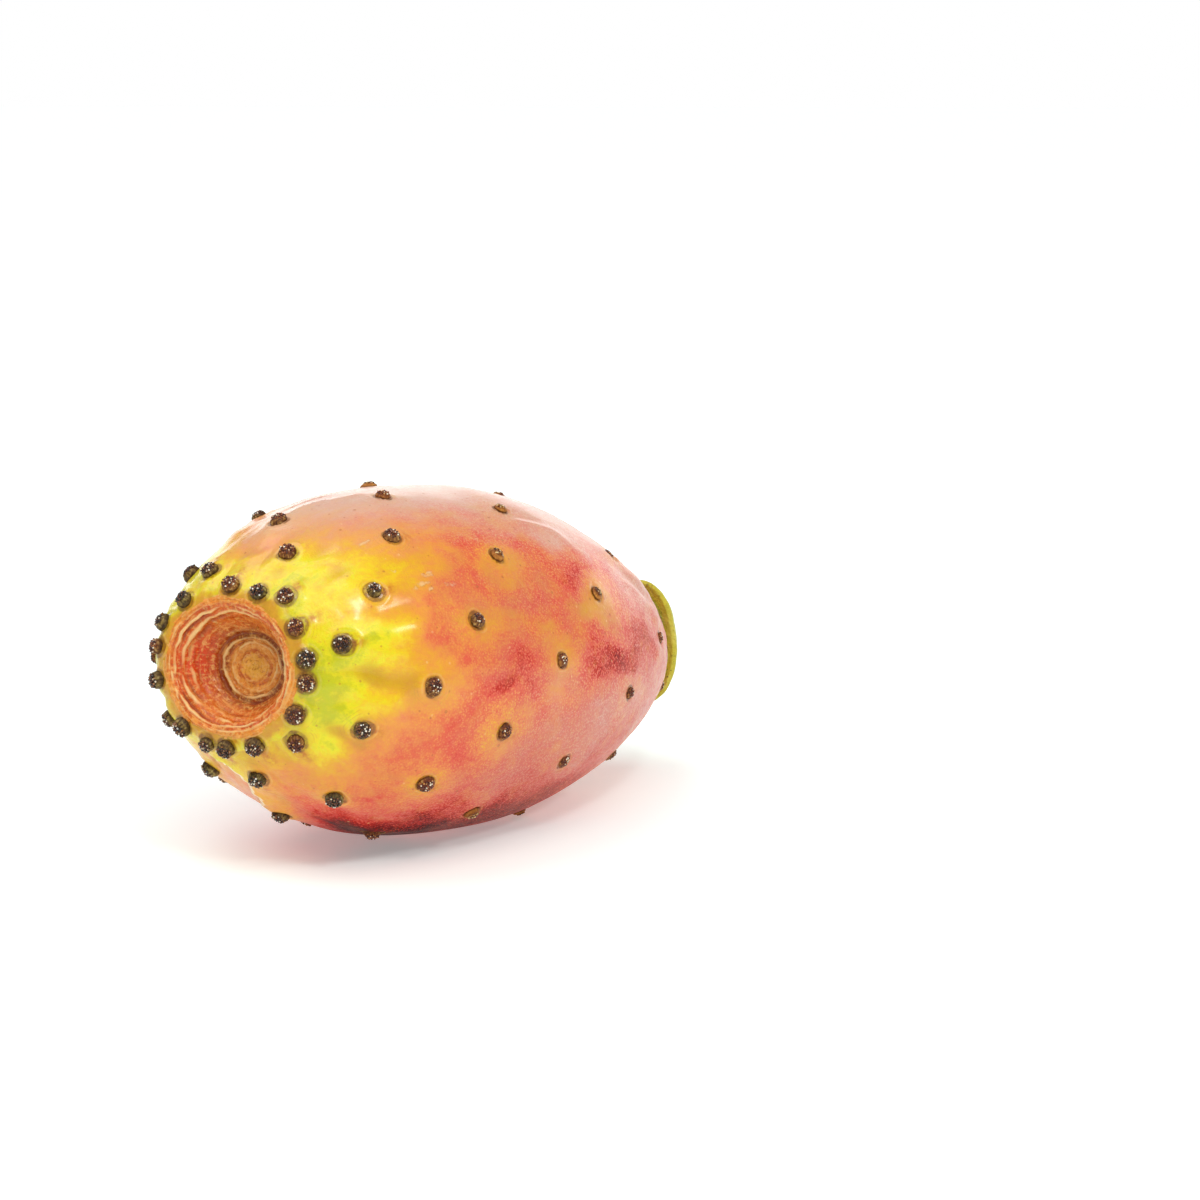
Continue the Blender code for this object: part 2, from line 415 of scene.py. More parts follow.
MIDDLE = (0, 0.5)  # radii over which the felt begins
CRIMP_RADII = (6, 7.4, 8.8, 9.8)  # where they begin, are full, begin to fade and end
VELVET = (6, 278, 1.4, 3.6)  # red patch on the wall: radius, angle, half width, half length


def cup_profile():
    """Stations and radii of the cup and rim, from the middle outwards, evenly spaced."""
    corners = np.array([*CUP, *RIM, (0, float(body_radius(0)))])
    for _ in range(3):  # rounds the corners
        quarter = corners[:-1] * 0.75 + corners[1:] * 0.25
        three = corners[:-1] * 0.25 + corners[1:] * 0.75
        middle = np.stack([quarter, three], axis=1).reshape(-1, 2)
        corners = np.vstack([corners[:1], middle, corners[-1:]])
    stations, radii = shared_out(corners, CUP_RINGS + 1)
    return stations[1:], radii[1:]


def lips(radius, angle):
    """Height of the lips, and how lip-like (1) or groove-like (-1) each place is."""
    circle = on_circle(angle[0])
    height, mask = np.zeros(radius.shape), np.zeros(radius.shape)
    size, step, seed = LIP_UNEVEN
    for number, (own_radius, own_height, width, groove_side) in enumerate(LIPS):
        wander = layers(circle, [(a, s, pace * number) for a, s, pace in LIP_WANDER])
        strength = LIP_STRENGTH[0] + field(circle, size, step * number + seed)
        strength = np.clip(strength, *LIP_STRENGTH[1:])
        offset = radius - own_radius - wander
        side = np.where(offset < 0, LIP_INNER_EDGE, 1)
        shape = bell(offset / (width * side)) * strength
        beside = offset - groove_side * GROOVE_AWAY * width
        groove = bell(beside / (GROOVE_WIDTH * width)) * strength
        height += own_height * (shape - GROOVE_DEPTH * groove)
        mask += shape * min(1, own_height / LIP_TALL)
        mask -= groove * min(1, own_height / GROOVE_TALL) * GROOVE_SHADE
    return height, np.clip(mask, -1, 1)


def nearest_areole(points):
    """Distance to the nearest areole, in its own radii, and its number."""
    tree = kdtree.KDTree(len(TUFTS))
    for number, (point, *_rest) in enumerate(TUFTS):
        tree.insert(Vector(point), number)
    tree.balance()
    found = [tree.find(Vector(point))[1:] for point in points.reshape(-1, 3)]
    numbers = np.array([number for number, _distance in found])
    distances = np.array([distance / TUFTS[number][2] for number, distance in found])
    return distances.reshape(points.shape[:-1]), numbers.reshape(points.shape[:-1])


LUMPS = ((0.28, 15, 15), (0.1, 6, 6))  # layers of noise
# Ridges along the crown and wrinkles at the stem end: length, width, height, sharpness, seed
RIDGES = (12, 3.2, 0.3, 2.2, 5)
RIDGE_FADE = 13
RIDGES_BEGIN = (-0.2, 3)
WRINKLES = (18, 2.4, 0.24, 2.6, 9)
WRINKLES_BEGIN = (46, 78)
CREASE = 0.16  # roundness of the creases between them
COLLAR_RADIUS = 1.34  # of the rim of skin round an areole, in its radii
COLLAR_WIDTH = 0.26
COLLAR_HEIGHT = 0.08
COLLAR_FADE = 90
PIT_RADIUS = 1  # of the moat inside that rim
PIT_WIDTH = 0.14
PIT_DEPTH = 0.14

# Single folds of the skin as (first station, last station, first angle, last angle in
# degrees, half width, height); a negative height is a groove
FOLDS = (
    (1.6, 9.5, 53, 50, 2, 0.24),
    (1, 17, 73, 76, 2.8, 0.42),
    (5.6, 12, 83, 84, 1, 0.22),
    (3, 12, 107, 105, 2, 0.5),
    (1, 8, 131, 129, 1.5, 0.5),
    (7.5, 15, 66, 69, 1.6, -0.2),
    (4, 15, 94, 97, 1.9, -0.46),
    (1, 9, 90, 91, 1.3, -0.36),
    (1.5, 9, 121, 121, 1.5, -0.4),
    (3, 9.5, 28, 36, 0.5, 0.3),
    (2, 10, 43, 43, 1.4, -0.36),
    (11, 19, -4, 4, 0.6, 0.24),
    (12.5, 20, -11, -3, 0.5, -0.2),
    (14, 24, 5, 7, 0.7, 0.18),
    (36, 49, 37, 47, 0.9, 0.36),
    (27, 35, 49, 50, 0.6, 0.14),
    (52, 76, 46, 60, 1.7, 0.55),
    (56, 74, 62, 76, 1.3, 0.5),
    (55, 74, 54, 68, 1.3, -0.45),
    (60, 77, 88, 96, 1.6, 0.4),
    (8, 30, 163, 156, 1.1, 0.3),
    (10, 26, 174, 170, 2.6, -0.35),
    (20, 46, 205, 214, 1.8, 0.3),
    (1, 15, 228, 232, 1.7, 0.45),
    (2, 13, 252, 250, 1.5, 0.45),
    (3, 18, 281, 284, 1.8, 0.5),
    (0.5, 9, 303, 300, 1.4, 0.4),
    (2, 14, 329, 333, 1.7, 0.45),
    (33, 52, 262, 270, 1.2, 0.28),
    (54, 75, 180, 172, 1.7, 0.5),
    (56, 76, 224, 232, 1.6, 0.5),
    (57, 74, 278, 270, 1.5, 0.45),
    (55, 75, 325, 336, 1.7, 0.5),
)
FOLD_ENDS = 0.35  # share of a fold's length over which it rises and falls
FOLD_WANDER = (0.9, 9, 4, 15)  # how far they stray sideways: amount, length, width, seed
FOLDS_CLEAR = (0.9, 1.6)  # distances from an areole, in its radii, over which they begin

# Pinched flap of skin under the crown: its edge as (station, angle in degrees)
FLAP = ((1.2, 207), (2.3, 192), (3, 186), (6, 187), (9.5, 189), (15, 192))
FLAP_HEIGHT = 0.5
FLAP_RISE = 2.4  # how far back from its edge the flap begins to rise
FLAP_DROP = 0.3  # and how soon it falls off past the edge
FLAP_FACE = (-0.1, 0.3, 3.85, 5.5)  # the same for the smooth face, past the edge
FLAP_HIGHLIGHT = 0.24  # half width of the painted highlight along the edge
FLAP_WAVES = ((0.02, 2.3), (0.012, 5.1))  # small waves of the edge: size, pace
FLAP_STATIONS = (1.2, 2.3, 9, 15)  # where it begins, is full, begins to fade and ends


def lengthwise(station, angle, length, width, seed):
    """Noise drawn out along the fruit."""
    radius = body_radius(station)
    drawn = [station * width / length, np.cos(angle) * radius, np.sin(angle) * radius]
    return field(np.stack(drawn, axis=-1), width, seed)


def ridges(station, angle, length, width, height, sharpness, seed):
    """Ridges along the fruit, with rounded creases between them."""
    drawn = lengthwise(station, angle, length, width, seed)
    return height * (1 - sharpness * np.sqrt(drawn**2 + CREASE**2))


def folds(station, angle):
    """Height of the single folds."""
    height = np.zeros(station.shape)
    radius = body_radius(station)
    wander = FOLD_WANDER[0] * lengthwise(station, angle, *FOLD_WANDER[1:])
    for first, last, first_angle, last_angle, width, tall in FOLDS:
        way = (station - first) / (last - first)
        middle = np.radians(between((first_angle, last_angle), np.clip(way, 0, 1)))
        across = (turn_between(angle, middle) * radius + wander) / width
        ends = plateau(way, 0, FOLD_ENDS, 1 - FOLD_ENDS, 1)
        height += tall * ends * bell(across)
    return height


def flap(station, angle):
    """Pinched flap: its height, its pale edge line of painted highlight, and the smooth face
    below the edge.
    """
    edge = np.array(FLAP, float)
    way = np.interp(station, edge[:, 0], np.radians(edge[:, 1]))
    way = way + sum(size * np.sin(station * pace) for size, pace in FLAP_WAVES)
    past = turn_between(angle, way) * body_radius(station)
    shape = np.where(past > 0, bell(past / FLAP_DROP), np.exp(past / FLAP_RISE))
    ends = plateau(station, *FLAP_STATIONS)
    line = ends * bell(past / FLAP_HIGHLIGHT)
    face = ends * plateau(past, *FLAP_FACE)
    return FLAP_HEIGHT * shape * ends, line, face


def relief(station, angle, points, near):
    """Fine relief of the skin: lumps, ridges, folds, wrinkles and collars round the areoles."""
    height = layers(points, LUMPS) + flap(station, angle)[0]
    fade = np.exp(-station / RIDGE_FADE) * smooth(station, *RIDGES_BEGIN)
    height += ridges(station, angle, *RIDGES) * fade
    height += ridges(station, angle, *WRINKLES) * smooth(station, *WRINKLES_BEGIN)
    height += folds(station, angle) * smooth(near, *FOLDS_CLEAR)
    collar = bell((near - COLLAR_RADIUS) / COLLAR_WIDTH)
    height += COLLAR_HEIGHT * collar * np.exp(-np.maximum(station, 0) / COLLAR_FADE)
    return height - PIT_DEPTH * bell((near - PIT_RADIUS) / PIT_WIDTH)


# Ripeness runs from 0, lime, over yellow, orange and salmon to 1, dark red. It grows from the
# crown as (station, ripeness), and these patches change it:
# (station, angle in degrees, half length, half width, amount)
RIPENESS = (
    (-1, 0.12),
    (2, 0.15),
    (4, 0.19),
    (7, 0.27),
    (10, 0.35),
    (14, 0.43),
    (20, 0.48),
    (30, 0.51),
    (80, 0.54),
)
# Rows at angles of 136 to 190 degrees lie on the underside and make it darker red: partly the
# skin's own colour, partly painted shade.
RIPENESS_AND_SHADE_PATCHES = (
    (6.5, -8, 4, 3, 0.12),
    (6, 6, 3, 2.6, 0.08),
    (6.5, 42, 4, 2.4, -0.09),
    (12.5, 50, 3.4, 2.2, -0.1),
    (16, 54, 3, 1.8, -0.08),
    (10.5, 75, 2.8, 1.6, -0.17),
    (7.4, 65, 2.6, 1.2, 0.04),
    (4.6, 58, 2.4, 1.8, 0.04),
    (8, 83, 2.4, 1.4, -0.08),
    (14.5, 93, 4.2, 2.8, -0.09),
    (8.5, 112, 2.6, 2, 0.07),
    (6.5, 128, 2.4, 2.6, 0.05),
    (2.6, 112, 2.4, 4, -0.09),
    (2.4, 98, 2.2, 3, -0.05),
    (2.4, 73, 2, 2.4, 0.03),
    (5, 140, 4, 4, 0.08),
    (5, 160, 4, 3, 0.1),
    (9, 150, 4, 3.4, 0.02),
    (17.5, 80, 2.4, 2, 0.12),
    (24.5, 75, 3.4, 2.2, -0.1),
    (20, 62, 4, 2.4, 0.05),
    (18, 109, 5, 3, 0.11),
    (15.5, 126, 4.4, 2.2, 0.09),
    (17, 133, 3.4, 2.2, -0.03),
    (26.5, 96, 4, 1.7, 0.16),
    (31, 89, 3.4, 1.3, 0.15),
    (26, 97, 1, 0.9, 0.12),
    (24, 99, 0.8, 0.6, 0.1),
    (35.5, 90, 3.6, 3, -0.2),
    (33, 72, 4, 1.8, 0.03),
    (43, 61, 3, 1.8, 0.16),
    (36, 60, 4, 1.8, -0.05),
    (24, 38, 8, 3.6, -0.05),
    (27, 50, 2.6, 1.2, 0.09),
    (47, 73, 3.4, 2.8, -0.17),
    (50, 91, 6.4, 1.3, 0.27),
    (44, 84, 3, 1.2, 0.12),
    (62, 84, 5, 1.6, 0.16),
    (30, 56, 2.4, 1.6, -0.12),
    (25.5, 112, 2.6, 1.8, -0.1),
    (24, 150, 8, 3.2, 0.12),
    (37, 154, 9, 4, 0.24),
    (29, 140, 7, 2.6, 0.09),
    (16, 149, 5, 3, 0.08),
    (16, 168, 5.5, 2.4, 0.3),
    (24, 165, 8, 3.4, 0.28),
    (48, 136, 7, 3, 0.14),
    (56, 110, 7, 5, 0.03),
    (43, 145, 7, 4, 0.16),
    (24, 190, 10, 7, 0.3),
    (20, 228, 7, 5, 0.16),
    (34, 246, 10, 5, 0.22),
    (52, 222, 11, 6, 0.18),
    (14, 262, 4, 4, -0.1),
    (30, 288, 7, 4, 0.16),
    (48, 300, 9, 5, 0.2),
    (17, 318, 5, 4, 0.12),
    (36, 330, 8, 5, -0.06),
    (62, 262, 7, 5, 0.16),
)
# Pale patches, in the same columns: partly the skin's waxy coat, partly painted sheen, mostly
# along the top and at the stem end.
BLOOM_AND_SHEEN_PATCHES = (
    (30, 40, 12, 4, 0.2),
    (15, 14, 6, 5, 0.2),
    (22, 2, 10, 4.4, 0.42),
    (36, 16, 10, 5.4, 0.62),
    (52, 37, 9, 4.6, 0.56),
    (66, 62, 6, 2.6, 0.6),
    (20, 24, 7, 3.6, 0.22),
    (43, 44, 4.5, 1.4, 0.25),
    (57, 74, 2, 5, 0.26),
    (37, 106, 5, 3, 0.22),
    (34, 124, 6, 3, 0.16),
    (48, 110, 5, 4, 0.32),
    (57, 102, 5, 3, 0.24),
    (42, 118, 4, 3, 0.2),
    (20, 97, 2.4, 1.2, 0.12),
    (48, 190, 15, 9, 0.26),
    (68, 160, 8, 9, 0.3),
    (30, 346, 12, 7, 0.42),
    (54, 352, 13, 9, 0.5),
    (42, 268, 10, 7, 0.3),
    (66, 226, 9, 9, 0.4),
    (70, 300, 8, 9, 0.44),
    (13, -10, 4, 3, 0.34),
)
PINK_PATCHES = (
    (42, 113, 11, 6, 0.75),
    (33, 128, 8, 4, 0.45),
    (47, 37, 8, 3, 0.55),
    (60, 60, 8, 5, 0.5),
    (34, 70, 8, 2.6, 0.45),
    (27, 88, 5, 2.4, 0.45),
    (22, 64, 4, 2.4, 0.3),
    (30, 14, 14, 5, 0.4),
    (66, 108, 10, 8, 0.55),
    (55, 160, 16, 10, 0.55),
    (50, 220, 18, 12, 0.5),
    (56, 290, 18, 12, 0.6),
    (60, 345, 14, 9, 0.55),
)
# Small whitish scabs: (station, angle in degrees, half length, half width, amount)
SCABS = (
    (16.8, 57, 0.55, 0.3, 1),
    (15.4, 60, 0.7, 0.22, 0.9),
    (16.1, 62.5, 0.5, 0.2, 0.8),
    (14.4, 61.5, 0.4, 0.16, 0.6),
    (19.2, 62, 0.8, 0.4, 0.5),
    (12.6, 52, 0.26, 0.2, 0.7),
    (12.2, 36.4, 1.1, 0.16, 0.9),
    (17.4, 100, 0.5, 0.18, 0.5),
    (24.5, 66, 0.4, 0.3, 0.4),
    (30, 252, 0.7, 0.3, 0.9),
    (31.2, 255, 0.4, 0.2, 0.8),
    (22, 300, 0.6, 0.22, 0.8),
    (40, 205, 0.5, 0.3, 0.7),
)
# How noise moves the patches' edges along and round the fruit: layers of noise
MOVED = ((2.6, 7, 21), (0.9, 2.2, 22))
TURNED = ((2.6, 6, 23), (0.9, 2, 24))
RIPE_STREAKS = (1.6, 14, 3.4, 41)  # amount, length, width, seed
RIPE_LAYERS = ((0.05, 4, 31), (0.04, 1.9, 32))
HOLLOW_RIPENESS_AND_SHADE = 0.1  # how much further along the ripeness ramp the hollows of the crown are than its ridges: partly their own golden colour, partly painted shade
HOLLOWS = (-0.5, 0.5)  # range of heights that counts
HOLLOWS_END = (9, 20)  # stations over which this fades out
BODY_BEGINS = (8, 18)  # stations over which the body's finer mottle begins
BLOOM_AND_SHEEN_BEGINS = (8, 30)
BLOOM_AND_SHEEN_LAYERS = ((0.1, 8, 33),)
PINK_LAYERS = ((0.3, 3.2, 34),)
SCAB_LAYERS = ((0.35, 0.7, 35),)
SCAB_TURN = 0.7
HALO_SIZE = (1.9, 3.9)  # reach of the yellower skin round an areole, at the crown and after it
HALO_STATIONS = (3, 9)
HALO_STRENGTH = (0.45, 1)  # least and greatest
HALO_GROWTH = (0.8, 1.2)
HALO_WIDTH = 0.8  # of its length
NEAR_WANDER = ((0.22, 1.4, 51),)  # unevenness of the rings round the areoles, in their radii
STAIN_SHARE = 0.45  # of the areoles have a brown stain on their stem side
STAIN_SIZE = (1.1, 0.65)  # half length, half width
STAIN_AWAY = 1.5  # from the areole's middle, and this far to either side
STAIN_SWAY = 0.7


def patches(station, angle, rows):
    """Sum of soft patches on the skin."""
    total = np.zeros(station.shape)
    radius = body_radius(station)
    for own_station, own_degrees, length, width, amount in rows:
        across = turn_between(angle, math.radians(own_degrees)) * radius / width
        along = (station - own_station) / length
        total += amount * np.exp(-0.5 * (across**2 + along**2))
    return total


def areole_marks(station, angle, numbers):
    """Halo of yellower skin round each areole, and brown stains on the stem side of some."""
    rng = np.random.default_rng(23)
    strength = rng.uniform(*HALO_STRENGTH, len(AREOLES))
    size = rng.uniform(*HALO_GROWTH, len(AREOLES))
    stained = rng.uniform(size=len(AREOLES)) < STAIN_SHARE
    sway = rng.uniform(-STAIN_SWAY, STAIN_SWAY, len(AREOLES))
    places = np.array(AREOLES)[numbers]
    along = station - places[..., 0]
    across = turn_between(angle, places[..., 1]) * body_radius(station)
    reach = between(HALO_SIZE, smooth(places[..., 0], *HALO_STATIONS)) * size[numbers]
    halo = strength[numbers] * bell(along / reach, across / (HALO_WIDTH * reach))
    past = (along - STAIN_AWAY) / STAIN_SIZE[0]
    beside = (across - sway[numbers]) / STAIN_SIZE[1]
    return halo, stained[numbers] * bell(past, beside)


def skin_marks(station, angle, points, numbers, height):
    """What the skin's material reads about its colours."""
    radius = body_radius(station)
    body = smooth(station, *BODY_BEGINS)
    moved = station + layers(points, MOVED)
    turned = angle + layers(points, TURNED) / radius
    amount, *streaks = RIPE_STREAKS
    drawn = moved + amount * lengthwise(station, angle, *streaks)
    ripe = np.interp(drawn, *np.array(RIPENESS).T) + patches(moved, turned, RIPENESS_AND_SHADE_PATCHES)
    ripe += layers(points, RIPE_LAYERS) * body
    ripe -= HOLLOW_RIPENESS_AND_SHADE * np.clip(height, *HOLLOWS) * (1 - smooth(station, *HOLLOWS_END))
    bloom_and_sheen = patches(moved, turned, BLOOM_AND_SHEEN_PATCHES)
    bloom_and_sheen += layers(points, BLOOM_AND_SHEEN_LAYERS) * smooth(station, *BLOOM_AND_SHEEN_BEGINS)
    pink = patches(moved, turned, PINK_PATCHES) + layers(points, PINK_LAYERS) * body
    shift = layers(points, SCAB_LAYERS)
    scab = patches(station + shift, angle + SCAB_TURN * shift / radius, SCABS)
    halo, stain = areole_marks(station, angle, numbers)
    _height, line, face = flap(station, angle)
    colors = {"ripeness": ripe, "bloom_and_sheen": bloom_and_sheen, "pink": pink, "scab": scab}
    return {**colors, "halo": halo, "stain": stain, "flap_highlight": line, "flap_face": face}


FIBRES = 9  # fineness of the radial fibres of the flower scar
FIBRE_DRAWN = 0.35  # and how much finer they are along their length
RINGED = 1.6  # fineness of the scar's crinkles along its rings
RINGED_FINE = 3.4  # and across them
# Rings of the stem scar as (radius, depth), from its edge to its floor
STEM_SCAR = ((4.3, 0.12), (3.9, 0.48), (3.7, 0.6), (3, 0.6), (2, 0.6), (1, 0.6))
SMOOTH_END = 1.5  # length over which the fine relief fades out before the stem scar
FAR = 9  # stands for no areole near


def cup_zone(angles):
    """Rings of the flower scar and its rim, with their marks."""
    stations, radii = cup_profile()
    slope_station, slope_radius = np.gradient(stations), np.gradient(radii)
    length = np.hypot(slope_station, slope_radius)
    station, angle = np.meshgrid(stations, angles, indexing="ij")
    radius = np.repeat(radii[:, None], SEGMENTS, axis=1)
    height, lip_mask = lips(radius, angle)
    rising = smooth(radius, *RISE)
    own = np.stack([station, radius * np.cos(angle), radius * np.sin(angle)], -1)
    height += FELT_HEIGHT * layers(own, FELT) * smooth(radius, *MIDDLE) * (1 - rising)
    round_it, over_it = CRIMPS
    crimps = on_circle(angle) * round_it
    crimps[..., 2] = radius * over_it
    height += CRIMP_HEIGHT * field(crimps, *CRIMP_NOISE) * plateau(radius, *CRIMP_RADII)
    lifted = radius + height * (slope_station / length)[:, None] + mound(station, angle) * rising
    points = bend(station - height * (slope_radius / length)[:, None], lifted, angle, 1)
    near, numbers = nearest_areole(points)
    own_radius, degrees, width, reach = VELVET
    aside = turn_between(angle, math.radians(degrees)) * radius / reach
    marks = skin_marks(station, angle, own, numbers, np.zeros(station.shape))
    marks |= {"velvet": bell((radius - own_radius) / width, aside), "areole": near}
    marks |= {"height": lip_mask, "station": station, "across": radius, "turn": angle}
    return {"points": points, **marks}


def body_zone(angles):
    """Rings of the skin from the rim to the stem scar, with their marks."""
    crown = np.linspace(0, CROWN_END, CROWN_RINGS + 1)[1:]
    rest = np.linspace(CROWN_END, SCAR_STATION, BODY_RINGS + 1)[1:]
    station, angle = np.meshgrid(np.concatenate([crown, rest]), angles, indexing="ij")
    plain = plain_skin(station, angle)
    near, numbers = nearest_areole(plain)
    fine = relief(station, angle, plain, near)
    fine *= 1 - smooth(station, SCAR_STATION - SMOOTH_END, SCAR_STATION)
    radius = body_radius(station) + mound(station, angle) + fine
    marks = skin_marks(station, angle, plain, numbers, fine)
    marks |= {"velvet": 0 * station, "areole": near + layers(plain, NEAR_WANDER)}
    marks |= {"height": fine, "station": station, "across": radius, "turn": angle}
    return {"points": bend(station, radius, angle, crown_share(station)), **marks}


def stem_zone(angles, names):
    """Rings of the stem scar; its marks are plain, as its material reads few of them."""
    radii, depths = np.array(STEM_SCAR).T
    station, angle = np.meshgrid(SCAR_STATION - depths, angles, indexing="ij")
    radius = np.repeat(radii[:, None], SEGMENTS, axis=1)
    marks = {name: 0 * radius for name in names}
    marks |= {"areole": 0 * radius + FAR, "station": 0 * radius + SCAR_STATION}
    return {**marks, "points": bend(station, radius, angle, 0), "across": radius, "turn": angle}


def pole_zone(station, tilt, beside):
    """One point on the axis, with the marks of the ring beside it."""
    zone = {name: values.ravel()[:1] for name, values in beside.items()}
    axis = {"points": bend(np.array([station]), 0, np.zeros(1), tilt)}
    return {**zone, **axis, "across": np.zeros(1), "turn": np.zeros(1)}


def scar_faces(angles, rings):
    """1 for the faces of the two scars, which have their own material, and 0 for the rest."""
    _stations, radii = cup_profile()
    edge = SCAR_EDGE + layers(on_circle(angles), SCAR_WANDER)
    inside = np.zeros((rings + 1, SEGMENTS), np.int32)
    inside[: len(radii)] = radii[:, None] < edge
    inside[rings - len(STEM_SCAR) :] = 1
    return inside.ravel()


def build_skin(place, materials):
    """Skin with flower scar and stem scar, one closed surface."""
    angles = ring_angles(SEGMENTS)
    cup, body = cup_zone(angles), body_zone(angles)
    stem = stem_zone(angles, body)
    first = pole_zone(CUP[0][0], 1, cup)
    last = pole_zone(SCAR_STATION - SCAR_FLOOR[1], 0, stem)
    zones = (first, cup, body, stem, last)
    points = np.concatenate([zone["points"].reshape(-1, 3) for zone in zones])
    rings = sum(len(zone["station"]) for zone in zones[1:-1])
    faces = closed_faces(rings, SEGMENTS, forward=False)
    skin = new_piece("skin", to_row(points, place), faces, materials, ("fruit",))
    skin.data.polygons.foreach_set("material_index", scar_faces(angles, rings))

    marks = {name: np.concatenate([zone[name].ravel() for zone in zones]) for name in body}
    del marks["points"]
    around = marks["across"][:, None]
    circle = np.roll(on_circle(marks.pop("turn")), 1, axis=1)
    along = np.array([1, 0, 0])
    marks["grown"] = circle * around + along * points[:, :1]
    marks["fibre"] = circle * FIBRES + along * around * FIBRE_DRAWN
    marks["ringed"] = circle * RINGED + along * around * RINGED_FINE
    for name, values in marks.items():
        add_attribute(skin, name, values)
    return skin


# ---------------------------------------------------------------- areoles


CUSHION_RINGS = 12
CUSHION_SEGMENTS = 64
CUSHION_WIDTH = (0.83, 0.88)  # at the rim and near the stem, against the part's source
CUSHION_HEIGHT = 0.8
CUSHION_RIBS = 0.035  # share of its width by which the fine ribs of the felt stand out
CUSHION_GROWTH = (0.84, 1.1)  # how much they differ in size
CUSHION_STRETCH = (0.92, 1.06)
CUSHION_BLUNT = 0.9  # below 1 the dome is fuller than a ball
CUSHION_ROUGH = ((0.06, 0.5, 0), (0.02, 0.2, 0.5))  # layers of noise
CUSHION_FOOT = 0.72 * math.pi  # polar angle of its lowest ring, inside the skin
GOLDEN_TURN = math.radians(137.508)
BEADS = (50, 26)  # bristle tips on a rim areole, on a small one
BEAD_LENGTH = (0.24, 0.17)
BEAD_RADIUS = (0.12, 0.105)
BEAD_SIDES = 6
BEAD_ROWS = ((0, 0.9), (0.5, 1), (0.85, 0.66))  # share of its length, share of its radius
BEAD_EDGE = (0.92, 0.72)  # polar angle of the outermost ones
TUFT_SHIFT = 0.34  # the tuft sits this polar angle towards the upper side of its cushion
TUFT_STATIONS = (1, 9)  # stations over which that shift grows
TUFT_SWAY = 0.12
TONE_STATIONS = (10, 28)  # the tufts turn from dark olive to brown between these
TONE_PARTS = (0.7, 0.3, 0.45)  # what the station, chance, and being a brown one add
WARM_SHARE = 0.4  # of the tufts are browner than their neighbours
BEAD_JITTER = (0.05, 0.2, 0.28)  # in place along and round the tuft, and in lean
BEAD_LENGTHS = (0.6, 1.25)  # least and greatest, against the usual one
BEAD_THICKNESSES = (0.8, 1.2)
BEAD_SUNK = 0.95  # distance of its foot from the cushion's middle, against the surface's
STEEPEST = 1.35  # polar angle beyond which no bristle grows
TINY = 1e-6


def around_normal(normal):
    """Matrix whose Z column is the normal."""
    return np.array(Vector(normal).to_track_quat("Z", "X").to_matrix())


def tuft_tone(station, rng):
    """0 for the dark olive tufts of the crown, 1 for the orange-brown ones near the stem."""
    warm = rng.uniform() < WARM_SHARE
    along, uneven, warmer = TONE_PARTS
    return float(smooth(station, *TONE_STATIONS)) * along + rng.uniform(0, uneven) + warmer * warm


def areole_rows():
    """What differs from areole to areole: its turn, tuft middle, share, size and tone."""
    rng = np.random.default_rng(17)
    growth = np.random.default_rng(23)
    rows = []
    for (station, _angle), (_middle, normal, radius, height) in zip(AREOLES, TUFTS):
        turn = around_normal(normal)
        upper = turn.T @ np.array([0, 0, 1])
        shift = TUFT_SHIFT * upper[:2] * float(smooth(station, *TUFT_STATIONS))
        shift = shift + rng.uniform(-TUFT_SWAY, TUFT_SWAY, 2)
        share = areole_share(station)
        across = radius * between(CUSHION_WIDTH, share)
        size = np.array([across, across, height * CUSHION_HEIGHT])
        size *= growth.uniform(*CUSHION_GROWTH)
        rows.append((turn, shift, share, size, tuft_tone(station, rng)))
    return rows


def new_tufts(name, place, shapes, faces, marks, material):
    """Piece made of many small shapes, with the marks of their points."""
    laid = to_row(np.vstack(shapes), place)
    piece = new_piece(name, laid, faces, [material])
    for mark, values in marks.items():
        add_attribute(piece, mark, np.concatenate(values))


def cushion(polar, angle, number, rng):
    """Points of one felted dome of about unit size, and how far its ribs stand out."""
    stretch = rng.uniform(*CUSHION_STRETCH, 2)
    ribs = rng.uniform(-1, 1, CUSHION_SEGMENTS)
    across = np.sin(polar) * (1 + CUSHION_RIBS * ribs * np.sin(polar) ** 2)
    dome = on_circle(angle) * across[..., None] * [*stretch, 1]
    dome[..., 2] = np.sign(np.cos(polar)) * np.abs(np.cos(polar)) ** CUSHION_BLUNT
    dome = np.vstack([[0, 0, 1], dome.reshape(-1, 3)])
    rough = [(amount, size, number + seed) for amount, size, seed in CUSHION_ROUGH]
    return dome, 1 + layers(dome, rough), ribs


def build_cushions(place, rows, material):
    """Felted domes of the areoles, finely ribbed and each a little different."""
    shapes, faces = [], []
    marks = {"tone": [], "core": [], "polar": [], "rib": []}
    rng = np.random.default_rng(11)
    rings = np.linspace(0, CUSHION_FOOT, CUSHION_RINGS + 1)[1:]
    polar, angle = np.meshgrid(rings, ring_angles(CUSHION_SEGMENTS), indexing="ij")
    for number, (middle, *_rest) in enumerate(TUFTS):
        turn, shift, _share, size, tone = rows[number]
        dome, rough, ribs = cushion(polar, angle, number, rng)
        below = dome[:, 2] < 0
        first = number * len(dome)
        under = first + len(dome) - CUSHION_SEGMENTS
        faces += pole_faces(first, first + 1, CUSHION_SEGMENTS, outward=True)
        faces += turned_faces(CUSHION_RINGS, CUSHION_SEGMENTS, first + 1)
        faces += flipped([range(under, under + CUSHION_SEGMENTS)])
        shapes.append(dome * rough[:, None] * size @ turn.T + middle)
        marks["tone"].append(np.full(len(dome), tone))
        marks["core"].append(np.hypot(*(dome[:, :2] - shift).T) + 2 * below)
        marks["polar"].append(np.concatenate([[0], polar.ravel()]))
        marks["rib"].append(np.concatenate([[0], np.tile(ribs, CUSHION_RINGS)]))
    new_tufts("areole_cushions", place, shapes, faces, marks, material)


